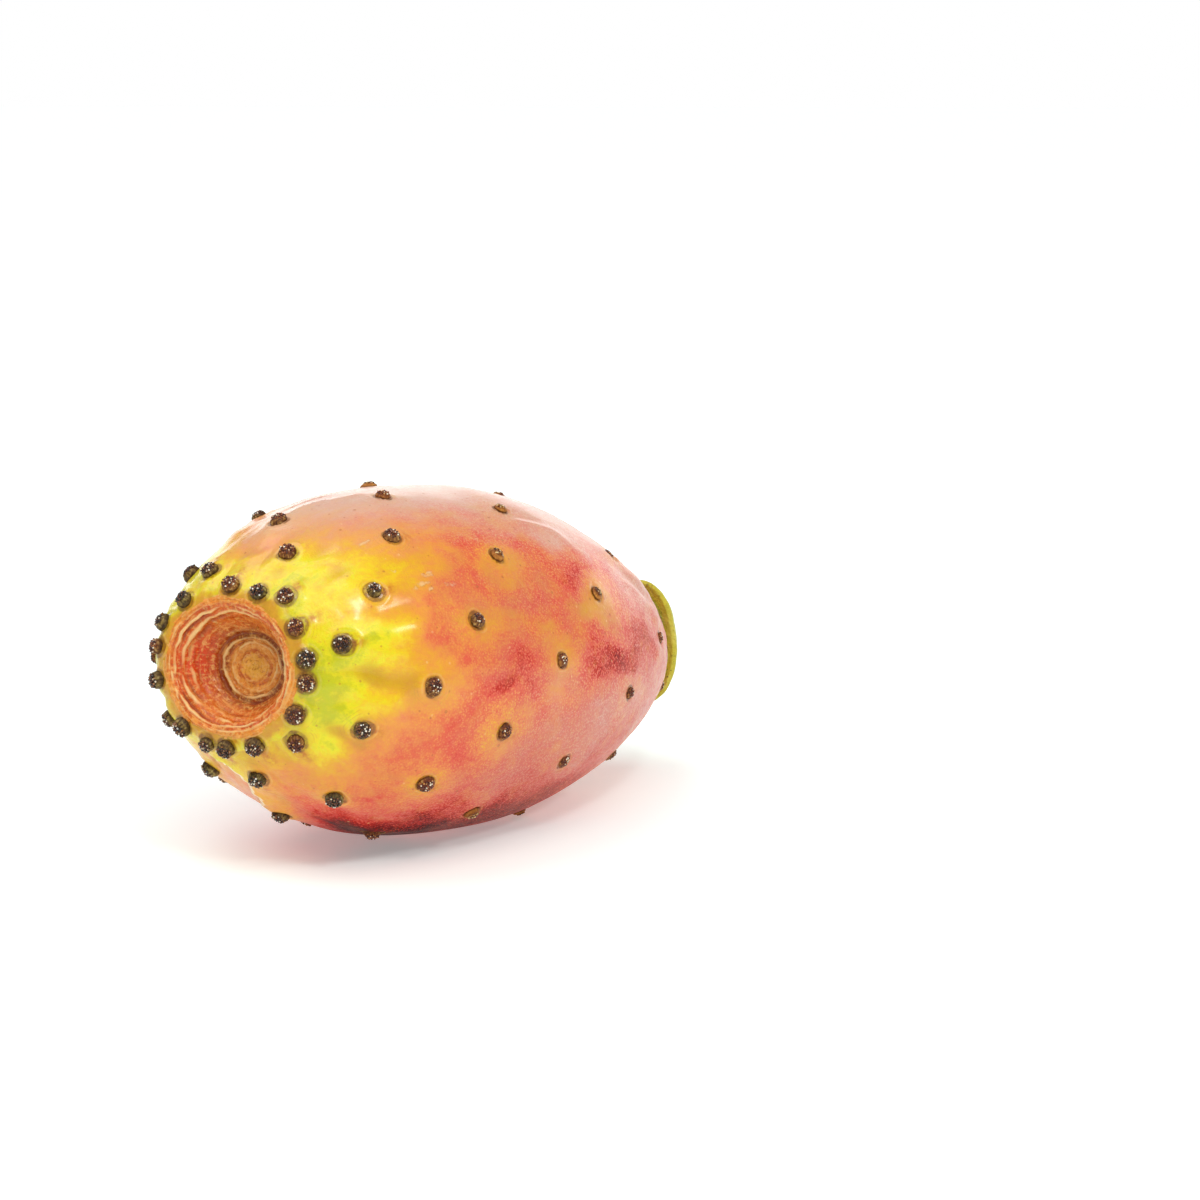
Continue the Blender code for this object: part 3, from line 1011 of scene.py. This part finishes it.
def bead_place(number, share, shift, rng):
    """Way from the middle of a cushion's unit dome to one bristle's foot."""
    amount = round(between(BEADS, share))
    along, aside, _lean = BEAD_JITTER
    away = between(BEAD_EDGE, share) * math.sqrt((number + 0.5) / amount)
    away += rng.uniform(-along, along)
    angle = number * GOLDEN_TURN + rng.uniform(-aside, aside)
    flat = shift + away * np.array([math.cos(angle), math.sin(angle)])
    length = float(np.hypot(*flat))
    polar = min(length, STEEPEST)
    return np.array([*flat / max(length, TINY) * math.sin(polar), math.cos(polar)])


def build_beads(place, rows, material):
    """Tufts of short blunt bristles, packed like beads on the cushions."""
    rng = np.random.default_rng(5)
    circle = ring_angles(BEAD_SIDES)
    shapes, faces = [], []
    marks = {"tone": [], "warm": []}
    for (turn, shift, share, size, tone), (middle, *_rest) in zip(rows, TUFTS):
        for number in range(round(between(BEADS, share))):
            way = bead_place(number, share, shift, rng)
            aim = way / size
            aim = aim / np.linalg.norm(aim) + rng.normal(0, BEAD_JITTER[2], 3)
            tall = between(BEAD_LENGTH, share) * rng.uniform(*BEAD_LENGTHS)
            thick = between(BEAD_RADIUS, share) * rng.uniform(*BEAD_THICKNESSES)
            shape = bead(circle, tall, thick) @ around_normal(aim).T + way * size * BEAD_SUNK
            faces += bead_faces(len(shapes) * len(shape))
            shapes.append(shape @ turn.T + middle)
            marks["tone"].append(np.full(len(shape), rng.uniform()))
            marks["warm"].append(np.full(len(shape), tone))
    new_tufts("areole_bristles", place, shapes, faces, marks, material)


def bead(circle, tall, thick):
    """Points of one blunt bristle along +Z."""
    rows = []
    for level, width in BEAD_ROWS:
        row = on_circle(circle) * thick * width
        row[:, 2] = level * tall
        rows.append(row)
    return np.vstack([*rows, [[0, 0, tall]]])


def bead_faces(first):
    """Faces of one bristle: its sides, its blunt tip and its foot."""
    top = first + (len(BEAD_ROWS) - 1) * BEAD_SIDES
    sides = flipped(turned_faces(len(BEAD_ROWS), BEAD_SIDES, first))
    foot = flipped([range(first, first + BEAD_SIDES)])
    return sides + pole_faces(top + BEAD_SIDES, top, BEAD_SIDES, outward=True) + foot


# ---------------------------------------------------------------- scrap of pad


PAD_SEGMENTS = 120
PAD_RINGS = 110
PAD_STRETCH = (1, 6)  # shares of its width count this much more than its length
PAD_ROUGH = ((0.22, 3, 2), (0.08, 1, 4))  # layers of noise
PAD_ROUGH_NECK = 0.4  # share of that on the neck
PAD_ROUGH_FROM = (0.2, 1.2)  # distances from the seat over which it begins
PAD_SUNK = 0.28  # the cut flesh lies this far below its rim of skin
PAD_WRINKLES = ((0.15, 1.6, 6), (0.075, 0.7, 8))
PAD_WANDER = ((0.07, 2.4, 9),)  # of the flesh's edge
PAD_TIP = 0.02  # share of its width where the last ring ends
PAD_JOINT = 0.02  # the slab begins this far before the neck ends
FLESH_BEGINS = (-0.15, 0)  # distances along, from the slab's far face
FLESH_EDGE = (0, 0.12)  # shares of the slab's width, inwards from its rim
RIND_EDGE = (0.62, 0.78)  # shares of the slab's width over which its rind begins
RIND_DEPTH = (0.3, 0.9)


def pad_shape(x, angle, width):
    """Points of the neck and the curled slab, before their roughness."""
    across, up = np.sin(angle) * width, np.cos(angle) * width
    power = PAD_SQUARENESS
    swell = np.abs(np.sin(angle)) ** power + np.abs(np.cos(angle)) ** power
    y = across * PAD_HALF_WIDTH / swell ** (1 / power) + PAD_OFFSET[0]
    z = up * PAD_HALF_HEIGHT / swell ** (1 / power) + PAD_OFFSET[1]
    slab = np.stack([x - (y * y + z * z) / (2 * PAD_CURL), y, z], axis=-1)
    neck = np.stack([x, across * NECK_RADIUS, up * NECK_RADIUS], axis=-1)
    return np.where((x > NECK_LENGTH - PAD_JOINT)[..., None], slab, neck)


def pad_relief(points, x, width, on_slab):
    """Points with their roughness and sunken flesh, and how fleshy each place is."""
    outward = points - [NECK_LENGTH, *PAD_OFFSET]
    outward /= np.linalg.norm(outward, axis=-1, keepdims=True)
    amount = np.where(on_slab, 1, PAD_ROUGH_NECK) * smooth(points[..., 0], *PAD_ROUGH_FROM)
    inner = PAD_EDGE[-1][1] - width - layers(points, PAD_WANDER)
    slab_end = NECK_LENGTH + PAD_THICKNESS
    flesh = smooth(x - slab_end, *FLESH_BEGINS) * smooth(inner, *FLESH_EDGE)
    rough = points + outward * (layers(points, PAD_ROUGH) * amount)[..., None]
    rough[..., 0] += flesh * (layers(points, PAD_WRINKLES) - PAD_SUNK)
    return rough, flesh


def build_pad(place, material):
    """Curled slab of cactus pad on its short neck."""
    corners = [(NECK_LENGTH * way, width) for way, width in NECK_SHAPE[1:]]
    corners += [(NECK_LENGTH + PAD_THICKNESS * way, width) for way, width in PAD_EDGE]
    crown = NECK_LENGTH + PAD_THICKNESS + PAD_CROWN[0]
    corners += [(crown, PAD_CROWN[1]), (crown, PAD_TIP)]
    xs, shares = shared_out(corners, PAD_RINGS, PAD_STRETCH)
    x, angle = np.meshgrid(xs, ring_angles(PAD_SEGMENTS), indexing="ij")
    width = np.repeat(shares[:, None], PAD_SEGMENTS, axis=1)
    on_slab = x > NECK_LENGTH - PAD_JOINT
    points, flesh = pad_relief(pad_shape(x, angle, width), x, width, on_slab)
    tip = points[-1].mean(axis=0)
    grown = np.vstack([np.zeros(3), points.reshape(-1, 3), tip])
    seat = bend(SCAR_STATION - SCAR_FLOOR[1], 0, 0, 0) + [SEAT_GAP, 0, 0]
    laid = to_row(grown + seat, place)
    faces = closed_faces(PAD_RINGS, PAD_SEGMENTS, forward=True)
    pad = new_piece("pad_scrap", laid, faces, [material], ("pad_remnant",))
    rind = smooth(width, *RIND_EDGE) * on_slab
    rind = np.maximum(smooth(x - NECK_LENGTH, *RIND_DEPTH), rind)
    add_attribute(pad, "rind", np.concatenate([[0], rind.ravel(), [1]]))
    add_attribute(pad, "flesh", np.concatenate([[0], flesh.ravel(), [1]]))
    add_attribute(pad, "grown", grown)


# ---------------------------------------------------------------- materials


class Value:
    """Output of a node, for sums and products that become nodes too."""

    def __init__(self, graph, socket):
        self.graph = graph
        self.socket = socket

    def __add__(self, other):
        return self.graph.math("ADD", self, other)

    def __mul__(self, other):
        return self.graph.math("MULTIPLY", self, other)

    def __truediv__(self, other):
        return self.graph.math("DIVIDE", self, other)

    def __sub__(self, other):
        return self.graph.math("SUBTRACT", self, other)

    def __rsub__(self, other):
        return self.graph.math("SUBTRACT", other, self)


class Graph:
    """Nodes of a material. Colours are given as red, green and blue from 0 to 255."""

    def __init__(self, name):
        self.material = bpy.data.materials.new(name)
        self.material.use_nodes = True
        self.tree = self.material.node_tree
        self.shader = self.tree.nodes["Principled BSDF"]
        self.color = None

    def node(self, kind, links, output, **settings):
        """New node with its settings and its inputs; gives its output."""
        node = self.tree.nodes.new(kind)
        for name, value in settings.items():
            setattr(node, name, value)
        for key, value in links.items():
            self.link(value, node.inputs[key])
        return Value(self, node.outputs[output])

    def link(self, value, socket):
        """Feeds an input, or sets it when the value is a plain one."""
        if isinstance(value, Value):
            self.tree.links.new(value.socket, socket)
        else:
            socket.default_value = value

    def attribute(self, name):
        return self.node("ShaderNodeAttribute", {}, "Fac", attribute_name=name)

    def vector(self, name):
        return self.node("ShaderNodeAttribute", {}, "Vector", attribute_name=name)

    def math(self, operation, first, second):
        return self.node("ShaderNodeMath", {0: first, 1: second}, 0, operation=operation)

    def range(self, value, low, high, to_low=0, to_high=1):
        """Smooth step from one value at low to another at high."""
        numbers = dict(enumerate((value, low, high, to_low, to_high)))
        return self.node("ShaderNodeMapRange", numbers, 0, interpolation_type="SMOOTHSTEP")

    def noise(self, vector, scale, detail, roughness=0.6, distortion=0):
        """Even mottle, mostly between 0.2 and 0.8."""
        links = {"Vector": vector, "Scale": scale, "Detail": detail}
        links |= {"Roughness": roughness, "Distortion": distortion}
        return self.node("ShaderNodeTexNoise", links, 0)

    def cells(self, vector, scale):
        """Distance to the middle of the nearest cell."""
        return self.node("ShaderNodeTexVoronoi", {"Vector": vector, "Scale": scale}, "Distance")

    def specks(self, vector, scale, size, share):
        """Round specks in a share of the cells."""
        distance = self.cells(vector, scale)
        color = Value(self, distance.socket.node.outputs["Color"])
        chosen = self.node("ShaderNodeSeparateColor", {0: color}, 0)
        chosen = self.math("LESS_THAN", chosen, share)
        return chosen * self.range(distance, size, 0.6 * size)

    def stretch(self, vector, factors):
        return self.node(
            "ShaderNodeVectorMath", {0: vector, 1: factors}, 0, operation="MULTIPLY"
        )

    def ramp(self, value, stops):
        """Colours along a value, from rows of (position, red, green, blue)."""
        ramp = self.node("ShaderNodeValToRGB", {0: value}, 0)
        elements = ramp.socket.node.color_ramp.elements
        while len(elements) < len(stops):
            elements.new(1)
        for element, (position, *color) in zip(elements, stops):
            element.position = position
            element.color = srgb(*color)
        return ramp

    def mix(self, share, first, second):
        """From the first colour to the second."""
        colors = [srgb(*c) if isinstance(c, tuple) else c for c in (first, second)]
        links = {"Factor": share, 6: colors[0], 7: colors[1]}
        return self.node("ShaderNodeMix", links, 2, data_type="RGBA")

    def tint(self, share, color):
        """Lays a colour over the one so far."""
        self.color = self.mix(share, self.color, color)

    def tints(self, rows):
        """Lays colours over the one so far, from rows of (value, low, high, share, colour)."""
        for value, low, high, share, color in rows:
            self.tint(self.range(value, low, high, 0, share), color)

    def bump(self, height, distance, strength):
        links = {"Height": height, "Distance": distance, "Strength": strength}
        return self.node("ShaderNodeBump", links, 0)

    def finished(self, **looks):
        """The material, with the colour so far and these inputs of its shader."""
        if self.color:
            self.link(self.color, self.shader.inputs["Base Color"])
        for name, value in looks.items():
            self.link(value, self.shader.inputs[name.replace("_", " ")])
        return self.material


RIPE_COLORS = (
    (0, 194, 194, 14),
    (0.06, 202, 196, 12),
    (0.13, 234, 218, 12),
    (0.2, 238, 200, 12),
    (0.28, 234, 172, 26),
    (0.36, 234, 154, 50),
    (0.45, 232, 134, 64),
    (0.55, 226, 106, 62),
    (0.67, 222, 80, 60),
    (0.8, 192, 36, 26),
    (0.92, 132, 8, 6),
    (1, 72, 3, 3),
)
RED = (0.34, 0.56)  # ripeness where the skin turns from yellow to red
STIPPLED = (12, 30, 0.45, 1)  # the pebbly stipple grows between these stations
DRAWN = (0.35, 1, 1)  # the skin's streaks are drawn out along the fruit
# Specks as (scale, size, share of the cells, strength, colour): rusty, brown and pale
SPECKS = (
    (0.42, 0.11, 0.4, 0.5, (172, 84, 34)),
    (0.85, 0.15, 0.3, 0.4, (176, 70, 34)),
    (0.6, 0.13, 0.3, 0.28, (252, 214, 150)),
)


def skin_look(g):
    """What several layers of the skin share."""
    grown = g.vector("grown")
    look = SimpleNamespace(grown=grown)
    look.drawn = g.noise(g.stretch(grown, DRAWN), 0.6, 4, 0.6, 0.6)
    look.mottle = g.noise(grown, 0.5, 4, 0.6, 0.5)
    look.golden = g.noise(grown, 0.36, 3, 0.55, 0.4)
    look.fine = g.noise(grown, 1.5, 4)
    look.grain = g.noise(grown, 4.2, 2)
    look.pebble = g.cells(grown, 3.1)
    look.station = g.attribute("station")
    look.near = g.attribute("areole")
    return look


def ripen(g, look):
    """Ripeness with its mottle and stipple, which also give the colour below the pale waxy layer;
    the ripeness carries painted shade on the underside, and painted shade darkens the crown's
    hollows.
    """
    ripe = g.attribute("ripeness")
    lively = g.range(ripe, 0.6, 0.82, 1, 0.2)
    ripe = ripe + g.range(look.drawn, 0.2, 0.8, -0.05, 0.05)
    look.red = g.range(ripe, *RED)
    look.patchy = look.red * lively
    look.stippled = look.red * g.range(look.station, *STIPPLED)
    ripe = ripe - g.attribute("halo") * look.patchy * 0.3
    ripe = ripe + g.range(look.mottle, 0.2, 0.8, -0.06, 0.06) * look.patchy
    ripe = ripe + g.range(look.fine, 0.25, 0.75, -0.03, 0.03)
    ripe = ripe + g.range(look.pebble, 0.1, 0.62, -0.09, 0.1) * look.stippled
    look.ripe = ripe + g.range(look.grain, 0.3, 0.7, -0.08, 0.08) * look.stippled
    g.color = g.ramp(look.ripe, RIPE_COLORS)
    g.tint(g.range(g.attribute("pink"), 0, 1) * 0.66, (204, 104, 88))
    g.tint(g.range(look.mottle, 0.46, 0.76) * look.patchy * 0.26, (226, 96, 84))
    g.tint(g.range(look.golden, 0.46, 0.8) * look.patchy * 0.45, (226, 154, 66))
    g.tint(g.range(look.pebble, 0.42, 0.12) * look.stippled * 0.16, (228, 166, 130))
    # Painted shade: the hollows of the relief are darkened towards golden olive, on the yellow
    # skin only.
    low = g.range(g.attribute("height"), 0.12, -0.4, 0, 0.7)
    g.tint(low * (1 - look.red), (194, 146, 8))


def weather(g, look):
    """Pale waxy layer, partly painted sheen, broken up by the stipple, then specks, scabs and
    brown stains.
    """
    bloom_and_sheen = g.attribute("bloom_and_sheen") + g.range(look.drawn, 0.25, 0.8, -0.1, 0.1)
    bloom_and_sheen = bloom_and_sheen + g.range(look.pebble, 0.1, 0.55, 0.11, -0.12) * look.stippled
    # The pale colour is partly the skin's waxy coat, partly painted sheen along the top and at
    # the stem end.
    g.tint(g.range(bloom_and_sheen, 0, 1.05, 0, 0.85), (222, 190, 170))
    for scale, size, share, strength, color in SPECKS:
        g.tint(g.specks(look.grown, scale, size, share) * strength, color)
    look.scab = g.range(g.attribute("scab") + g.range(look.fine, 0.3, 0.7, -0.2, 0.2), 0.3, 0.7)
    g.tint(look.scab * 0.34, (246, 226, 176))
    g.tint(g.attribute("stain") * g.range(look.fine, 0.3, 0.62) * 0.8, (190, 92, 18))


def edge_scars(g, look):
    """Tan rim of the cup, and pale and ringed lines round the areoles, with a dark line of
    painted contact shadow at their foot.
    """
    edge = g.attribute("across") + g.range(look.mottle, 0.2, 0.8, -0.7, 0.7)
    edge = g.range(edge, 10, 8.9) * g.range(look.station, 0.9, -0.1)
    g.tint(edge * 0.7, (206, 116, 40))
    partly = g.range(look.golden, 0.42, 0.58)
    rim = g.range(look.near, 1.08, 1.2) * g.range(look.near, 1.36, 1.22) * partly * 0.18
    g.tint(rim, (246, 220, 140))
    rings = g.range(g.math("SINE", look.near * 22, 0), 0.5, 1)
    rings = rings * g.range(look.near, 1.3, 1.5) * g.range(look.near, 2.3, 1.8)
    g.tint(rings * g.range(look.drawn, 0.5, 0.62) * 0.35, (196, 140, 40))
    # Painted contact shadow round the foot of each areole, broken up by noise.
    shade_breakup = g.range(look.fine, 0.3, 0.62, 0.35, 1)
    g.tint(g.range(look.near, 1.1, 0.96) * shade_breakup * 0.75, (124, 70, 18))


def skin_material():
    """Waxy skin: yellow crown, orange to red body, pale waxy layer partly painted as sheen,
    pebbly stipple; painted shade darkens the crown's hollows and the underside.
    """
    g = Graph("skin")
    look = skin_look(g)
    ripen(g, look)
    weather(g, look)
    edge_scars(g, look)
    face = g.mix(g.range(look.mottle, 0.35, 0.65), (226, 150, 92), (224, 112, 66))
    g.tint(g.attribute("flap_face") * 0.75, face)
    # Painted highlight: a pale line along the flap's edge.
    g.tint(g.range(g.attribute("flap_highlight"), 0.1, 0.7, 0, 0.95), (254, 232, 196))
    height = look.grain * 0.5 + look.fine + look.drawn * 1.2 + look.pebble * look.stippled * -0.5
    coat = g.range(look.red, 0, 1, 0.55, 0.34) * g.range(look.ripe, 0.58, 0.8, 1, 0.08)
    return g.finished(
        Normal=g.bump(height + look.scab * 1.2, 0.00016, 0.55),
        Roughness=g.range(look.fine, 0.2, 0.8, 0.32, 0.5),
        Coat_Weight=coat,
        Coat_Roughness=0.18,
        Specular_IOR_Level=g.range(look.ripe, 0.55, 0.85, 0.24, 0.06),
        Subsurface_Weight=0.1,
        Subsurface_Radius=(1, 0.45, 0.2),
        Subsurface_Scale=0.002,
    )


# Colours of the scar by the distance from its middle, in centimetres; the dark ring at 0.4 lies
# in the groove at the foot of the cup's wall, partly brown tissue and partly painted shade
SCAR_COLORS = (
    (0, 244, 185, 65),
    (0.15, 238, 165, 54),
    (0.2, 209, 107, 33),
    (0.25, 235, 152, 52),
    (0.33, 227, 137, 44),
    (0.4, 141, 70, 20),
    (0.46, 172, 92, 30),
    (0.54, 209, 103, 31),
    (0.66, 227, 118, 34),
    (0.76, 214, 85, 22),
    (0.83, 238, 141, 46),
    (0.9, 229, 141, 38),
)


def scar_material():
    """Dried fibrous tissue of the flower scar and stem scar."""
    g = Graph("scar")
    grown = g.vector("grown")
    lip = g.attribute("height")
    fine = g.noise(grown, 2.1, 5, 0.65)
    blotch = g.noise(grown, 0.7, 4, 0.65, 0.6)
    fibres = g.noise(g.vector("fibre"), 2.2, 3)
    ringed = g.noise(g.vector("ringed"), 1, 4)
    across = g.attribute("across") + g.range(blotch, 0.2, 0.8, -0.55, 0.55)
    g.color = g.ramp(across / 10, SCAR_COLORS)
    g.tint(g.attribute("velvet") * g.range(fine, 0.28, 0.6, 0.6, 1), (224, 49, 7))
    g.tints(
        (
            (fibres, 0.54, 0.72, 0.34, (250, 200, 116)),
            (fibres, 0.44, 0.28, 0.34, (185, 72, 15)),
            (fine, 0.5, 0.64, 0.6, (248, 196, 108)),
            (fine, 0.46, 0.32, 0.45, (157, 68, 13)),
            (ringed, 0.53, 0.68, 0.6, (248, 186, 104)),
            (ringed, 0.47, 0.34, 0.6, (183, 68, 13)),
            # Darker grooves and paler lips: partly their own colours, partly painted shade in the
            # grooves and painted highlight on the lips.
            (lip, -0.2, -0.85, 0.75, (152, 57, 10)),
            (lip, 0.15, 0.85, 0.85, (250, 206, 136)),
        )
    )
    return g.finished(
        Normal=g.bump(fine + fibres * 0.6, 0.0003, 0.6),
        Roughness=g.range(blotch, 0.35, 0.65, 0.22, 0.5),
        Specular_IOR_Level=0.3,
        Coat_Weight=0.2,
        Coat_Roughness=0.12,
        Subsurface_Weight=0.12,
        Subsurface_Radius=(1, 0.5, 0.25),
        Subsurface_Scale=0.002,
    )


OLIVE_FELT = (
    (0.34, 58, 44, 18),
    (0.48, 104, 86, 38),
    (0.6, 140, 120, 62),
    (0.72, 186, 168, 108),
)
BROWN_FELT = (
    (0.34, 80, 28, 10),
    (0.48, 132, 68, 24),
    (0.6, 172, 108, 46),
    (0.72, 220, 174, 100),
)
GOLDEN_TONE = (1.05, 1.2)  # tones between which an areole turns golden


def cushion_material():
    """Olive-brown felt with fine ribs; near-black under the tuft, the bristles' dark bases with
    painted shade between them, and painted shade at the foot where it meets the skin.
    """
    g = Graph("areole_felt")
    place = g.node("ShaderNodeTexCoord", {}, "Object")
    spots = g.noise(place, 2400, 3)
    streak = g.attribute("rib") * 0.1 + spots
    tone = g.attribute("tone")
    golden = g.range(tone, *GOLDEN_TONE)
    g.color = g.mix(tone, g.ramp(streak, OLIVE_FELT), g.ramp(streak, BROWN_FELT))
    g.tint(golden * 0.6, (186, 118, 34))
    # Under the tuft: the dark bases of the bristles with painted shade between them, browner on
    # brown and golden tufts.
    shade = g.mix(golden, g.mix(tone, (26, 14, 8), (98, 42, 16)), (122, 64, 20))
    g.tint(g.range(g.attribute("core"), 1.05, 0.55) * 0.9, shade)
    # Painted shade at the foot of the dome, where it meets the skin.
    g.tint(g.range(g.attribute("polar"), 1.25, 1.65) * 0.75, (52, 30, 10))
    return g.finished(
        Normal=g.bump(spots, 0.00015, 0.7), Roughness=0.5, Specular_IOR_Level=0.25
    )


# Colours of the bristles by their tone; the near-white tips at the top of each ramp are partly
# pale bristles, partly painted glints.
DARK_TIPS = (
    (0, 12, 6, 6),
    (0.36, 34, 16, 12),
    (0.56, 96, 46, 22),
    (0.82, 150, 100, 52),
    (0.91, 216, 200, 170),
    (0.97, 255, 250, 240),
)
WARM_TIPS = (
    (0, 58, 14, 8),
    (0.45, 116, 40, 16),
    (0.7, 162, 82, 32),
    (0.86, 206, 142, 66),
    (0.93, 250, 236, 206),
)
GOLD_TIPS = (
    (0, 72, 30, 10),
    (0.45, 128, 72, 24),
    (0.8, 190, 130, 50),
    (0.94, 240, 214, 150),
)


def bristle_material():
    """Glossy near-black bristle tips, some brown, a few pale: these pale ones are partly painted
    glints.
    """
    g = Graph("bristles")
    tone, warm = g.attribute("tone"), g.attribute("warm")
    g.color = g.mix(warm, g.ramp(tone, DARK_TIPS), g.ramp(tone, WARM_TIPS))
    g.tint(g.range(warm, *GOLDEN_TONE), g.ramp(tone, GOLD_TIPS))
    return g.finished(Roughness=0.22, Coat_Weight=0.4, Coat_Roughness=0.06)


OUTER_RIND = (
    (0.3, 224, 210, 54),
    (0.5, 204, 194, 48),
    (0.7, 224, 208, 80),
)
INNER_RIND = (
    (0.3, 40, 24, 8),
    (0.6, 104, 70, 24),
    (0.8, 150, 112, 46),
)
FLESH = (
    (0.3, 170, 132, 30),
    (0.42, 190, 166, 40),
    (0.56, 206, 192, 62),
    (0.74, 224, 212, 112),
)


def rind_material():
    """Yellow-lime rind with dark specks outside, dried dark brown inside."""
    g = Graph("pad_rind")
    grown, sunk = g.vector("grown"), g.attribute("flesh")
    wide = g.noise(grown, 0.35, 4)
    fine = g.noise(grown, 2.4, 4, 0.65)
    blotch = g.noise(grown, 0.9, 5, 0.65, 0.5)
    g.color = g.ramp(wide, OUTER_RIND)
    g.tint(g.range(blotch, 0.58, 0.7, 0, 0.75), (136, 100, 42))
    g.tint(g.range(blotch, 0.42, 0.26, 0, 0.35), (222, 208, 96))
    side = g.attribute("rind") + g.range(wide, 0.2, 0.8, -0.3, 0.3)
    g.color = g.mix(g.range(side, 0.25, 0.7), g.ramp(fine, INNER_RIND), g.color)
    flesh = g.ramp(wide + g.range(blotch, 0.3, 0.7, -0.12, 0.12), FLESH)
    g.tint(g.range(sunk, 0.02, 0.35), flesh)
    rim = g.range(sunk, 0, 0.3) * g.range(sunk, 1, 0.3)
    g.tint(rim * g.range(blotch, 0.35, 0.6, 0.2, 1), (116, 88, 30))
    g.tint(g.range(fine, 0.62, 0.7, 0, 0.8), (66, 46, 14))
    return g.finished(Normal=g.bump(fine + blotch * 1.5, 0.0005, 0.8), Roughness=0.5)


# ---------------------------------------------------------------- stage


# Windows as (name, heading, height, distance, size, power) and soft suns as (name, heading,
# height, width, strength), with the angles in degrees; the camera's heading is about 217
WINDOWS = (
    ("window_front", 233, 47, 0.6, (0.07, 0.09), 0.54),
    ("window_side", 278, 37, 0.6, (0.14, 0.07), 0.56),
    ("window_back", 26, 10, 0.8, (1.2, 0.26), 1.8),
)
SKY_LIGHTS = (
    ("sky_front", 226, 60, 45, 0.95),
    ("sky_left", 112, 62, 50, 1.2),
)
SURROUNDING_LIGHT = 0.31
SURROUNDING_SEEN = 1  # its brightness in the picture
FLOOR_HALF = 30
FLOOR_GLOW = 0.28  # keeps the floor white, with faint shadows, as a lit table does
FLOOR_CORNERS = ((-1, -1), (1, -1), (1, 1), (-1, 1))
FLOOR_COLOR = (0.81, 0.92, 0.9, 1)
FLOOR_LIGHT = (1, 0.94, 0.94, 1)
LIT = Vector((0, 0, 0.02))  # the place that the windows face


def toward(heading, height):
    """Direction of a heading from +X towards +Y and a height above the floor, in degrees."""
    turn, lift = math.radians(heading), math.radians(height)
    flat = math.cos(lift)
    return Vector((math.cos(turn) * flat, math.sin(turn) * flat, math.sin(lift)))


def placed(name, data):
    """Object that belongs to the picture, not to the fruit."""
    obj = bpy.data.objects.new(name, data)
    bpy.context.scene.collection.objects.link(obj)
    return obj


def build_floor():
    """Plain pale floor."""
    mesh = bpy.data.meshes.new("floor")
    corners = [(x * FLOOR_HALF, y * FLOOR_HALF, 0) for x, y in FLOOR_CORNERS]
    mesh.from_pydata(corners, [], [(0, 1, 2, 3)])
    g = Graph("floor")
    material = g.finished(
        Base_Color=FLOOR_COLOR,
        Roughness=0.9,
        Specular_IOR_Level=0.1,
        Emission_Color=FLOOR_LIGHT,
        Emission_Strength=FLOOR_GLOW,
    )
    mesh.materials.append(material)
    floor = placed("floor", mesh)


def build_lights():
    """Studio windows, and soft suns for the light of the sky."""
    for name, heading, height, distance, size, power in WINDOWS:
        data = bpy.data.lights.new(name, "AREA")
        data.shape = "RECTANGLE"
        data.size, data.size_y = size
        data.energy = power
        lamp = placed(name, data)
        lamp.location = LIT + toward(heading, height) * distance
        lamp.rotation_euler = (LIT - lamp.location).to_track_quat("-Z", "Y").to_euler()
        lamp.visible_camera = False
    for name, heading, height, width, strength in SKY_LIGHTS:
        data = bpy.data.lights.new(name, "SUN")
        data.angle = math.radians(width)
        data.energy = strength
        sun = placed(name, data)
        sun.rotation_euler = toward(heading, height).to_track_quat("Z", "Y").to_euler()


def build_surrounding():
    """Plain surrounding: it looks white, and lights the fruit less than it shows."""
    world = bpy.data.worlds.new("surrounding")
    world.use_nodes = True
    tree = world.node_tree
    background = tree.nodes["Background"]
    background.inputs["Color"].default_value = (1, 1, 1, 1)
    path = tree.nodes.new("ShaderNodeLightPath")
    strength = tree.nodes.new("ShaderNodeMapRange")
    strength.inputs["To Min"].default_value = SURROUNDING_LIGHT
    strength.inputs["To Max"].default_value = SURROUNDING_SEEN
    tree.links.new(path.outputs["Is Camera Ray"], strength.inputs["Value"])
    tree.links.new(strength.outputs["Result"], background.inputs["Strength"])
    bpy.context.scene.world = world


def build_camera(place):
    """Camera of the picture, placed from where the fruit's own origin is seen."""
    level = math.cos(CAMERA_DOWN)
    side, front = math.sin(CAMERA_HEADING) * level, -math.cos(CAMERA_HEADING) * level
    back = Vector((side, front, math.sin(CAMERA_DOWN)))
    right = Vector((0, 0, 1)).cross(back).normalized()
    up = back.cross(right)
    seen_right, seen_up, away = ORIGIN_SEEN
    data = bpy.data.cameras.new("camera")
    data.lens = LENS
    data.sensor_width = SENSOR
    data.clip_start = 0.01
    camera = placed("camera", data)
    spot = Vector(place) + back * away - right * seen_right - up * seen_up
    axes = Matrix((right, up, back)).transposed().to_4x4()
    camera.matrix_world = Matrix.Translation(spot * MM) @ axes
    bpy.context.scene.camera = camera


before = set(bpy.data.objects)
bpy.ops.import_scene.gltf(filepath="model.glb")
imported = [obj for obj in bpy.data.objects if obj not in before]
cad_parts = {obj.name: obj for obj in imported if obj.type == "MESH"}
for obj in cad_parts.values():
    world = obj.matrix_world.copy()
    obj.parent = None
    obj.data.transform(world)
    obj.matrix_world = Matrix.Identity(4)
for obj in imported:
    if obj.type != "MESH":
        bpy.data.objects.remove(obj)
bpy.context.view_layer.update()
origin = place_in_row()
build_skin(origin, [skin_material(), scar_material()])
areoles = areole_rows()
build_cushions(origin, areoles, cushion_material())
build_beads(origin, areoles, bristle_material())
build_pad(origin, rind_material())
build_floor()
build_surrounding()
build_lights()
build_camera(origin)
bpy.context.scene.view_settings.view_transform = "Standard"
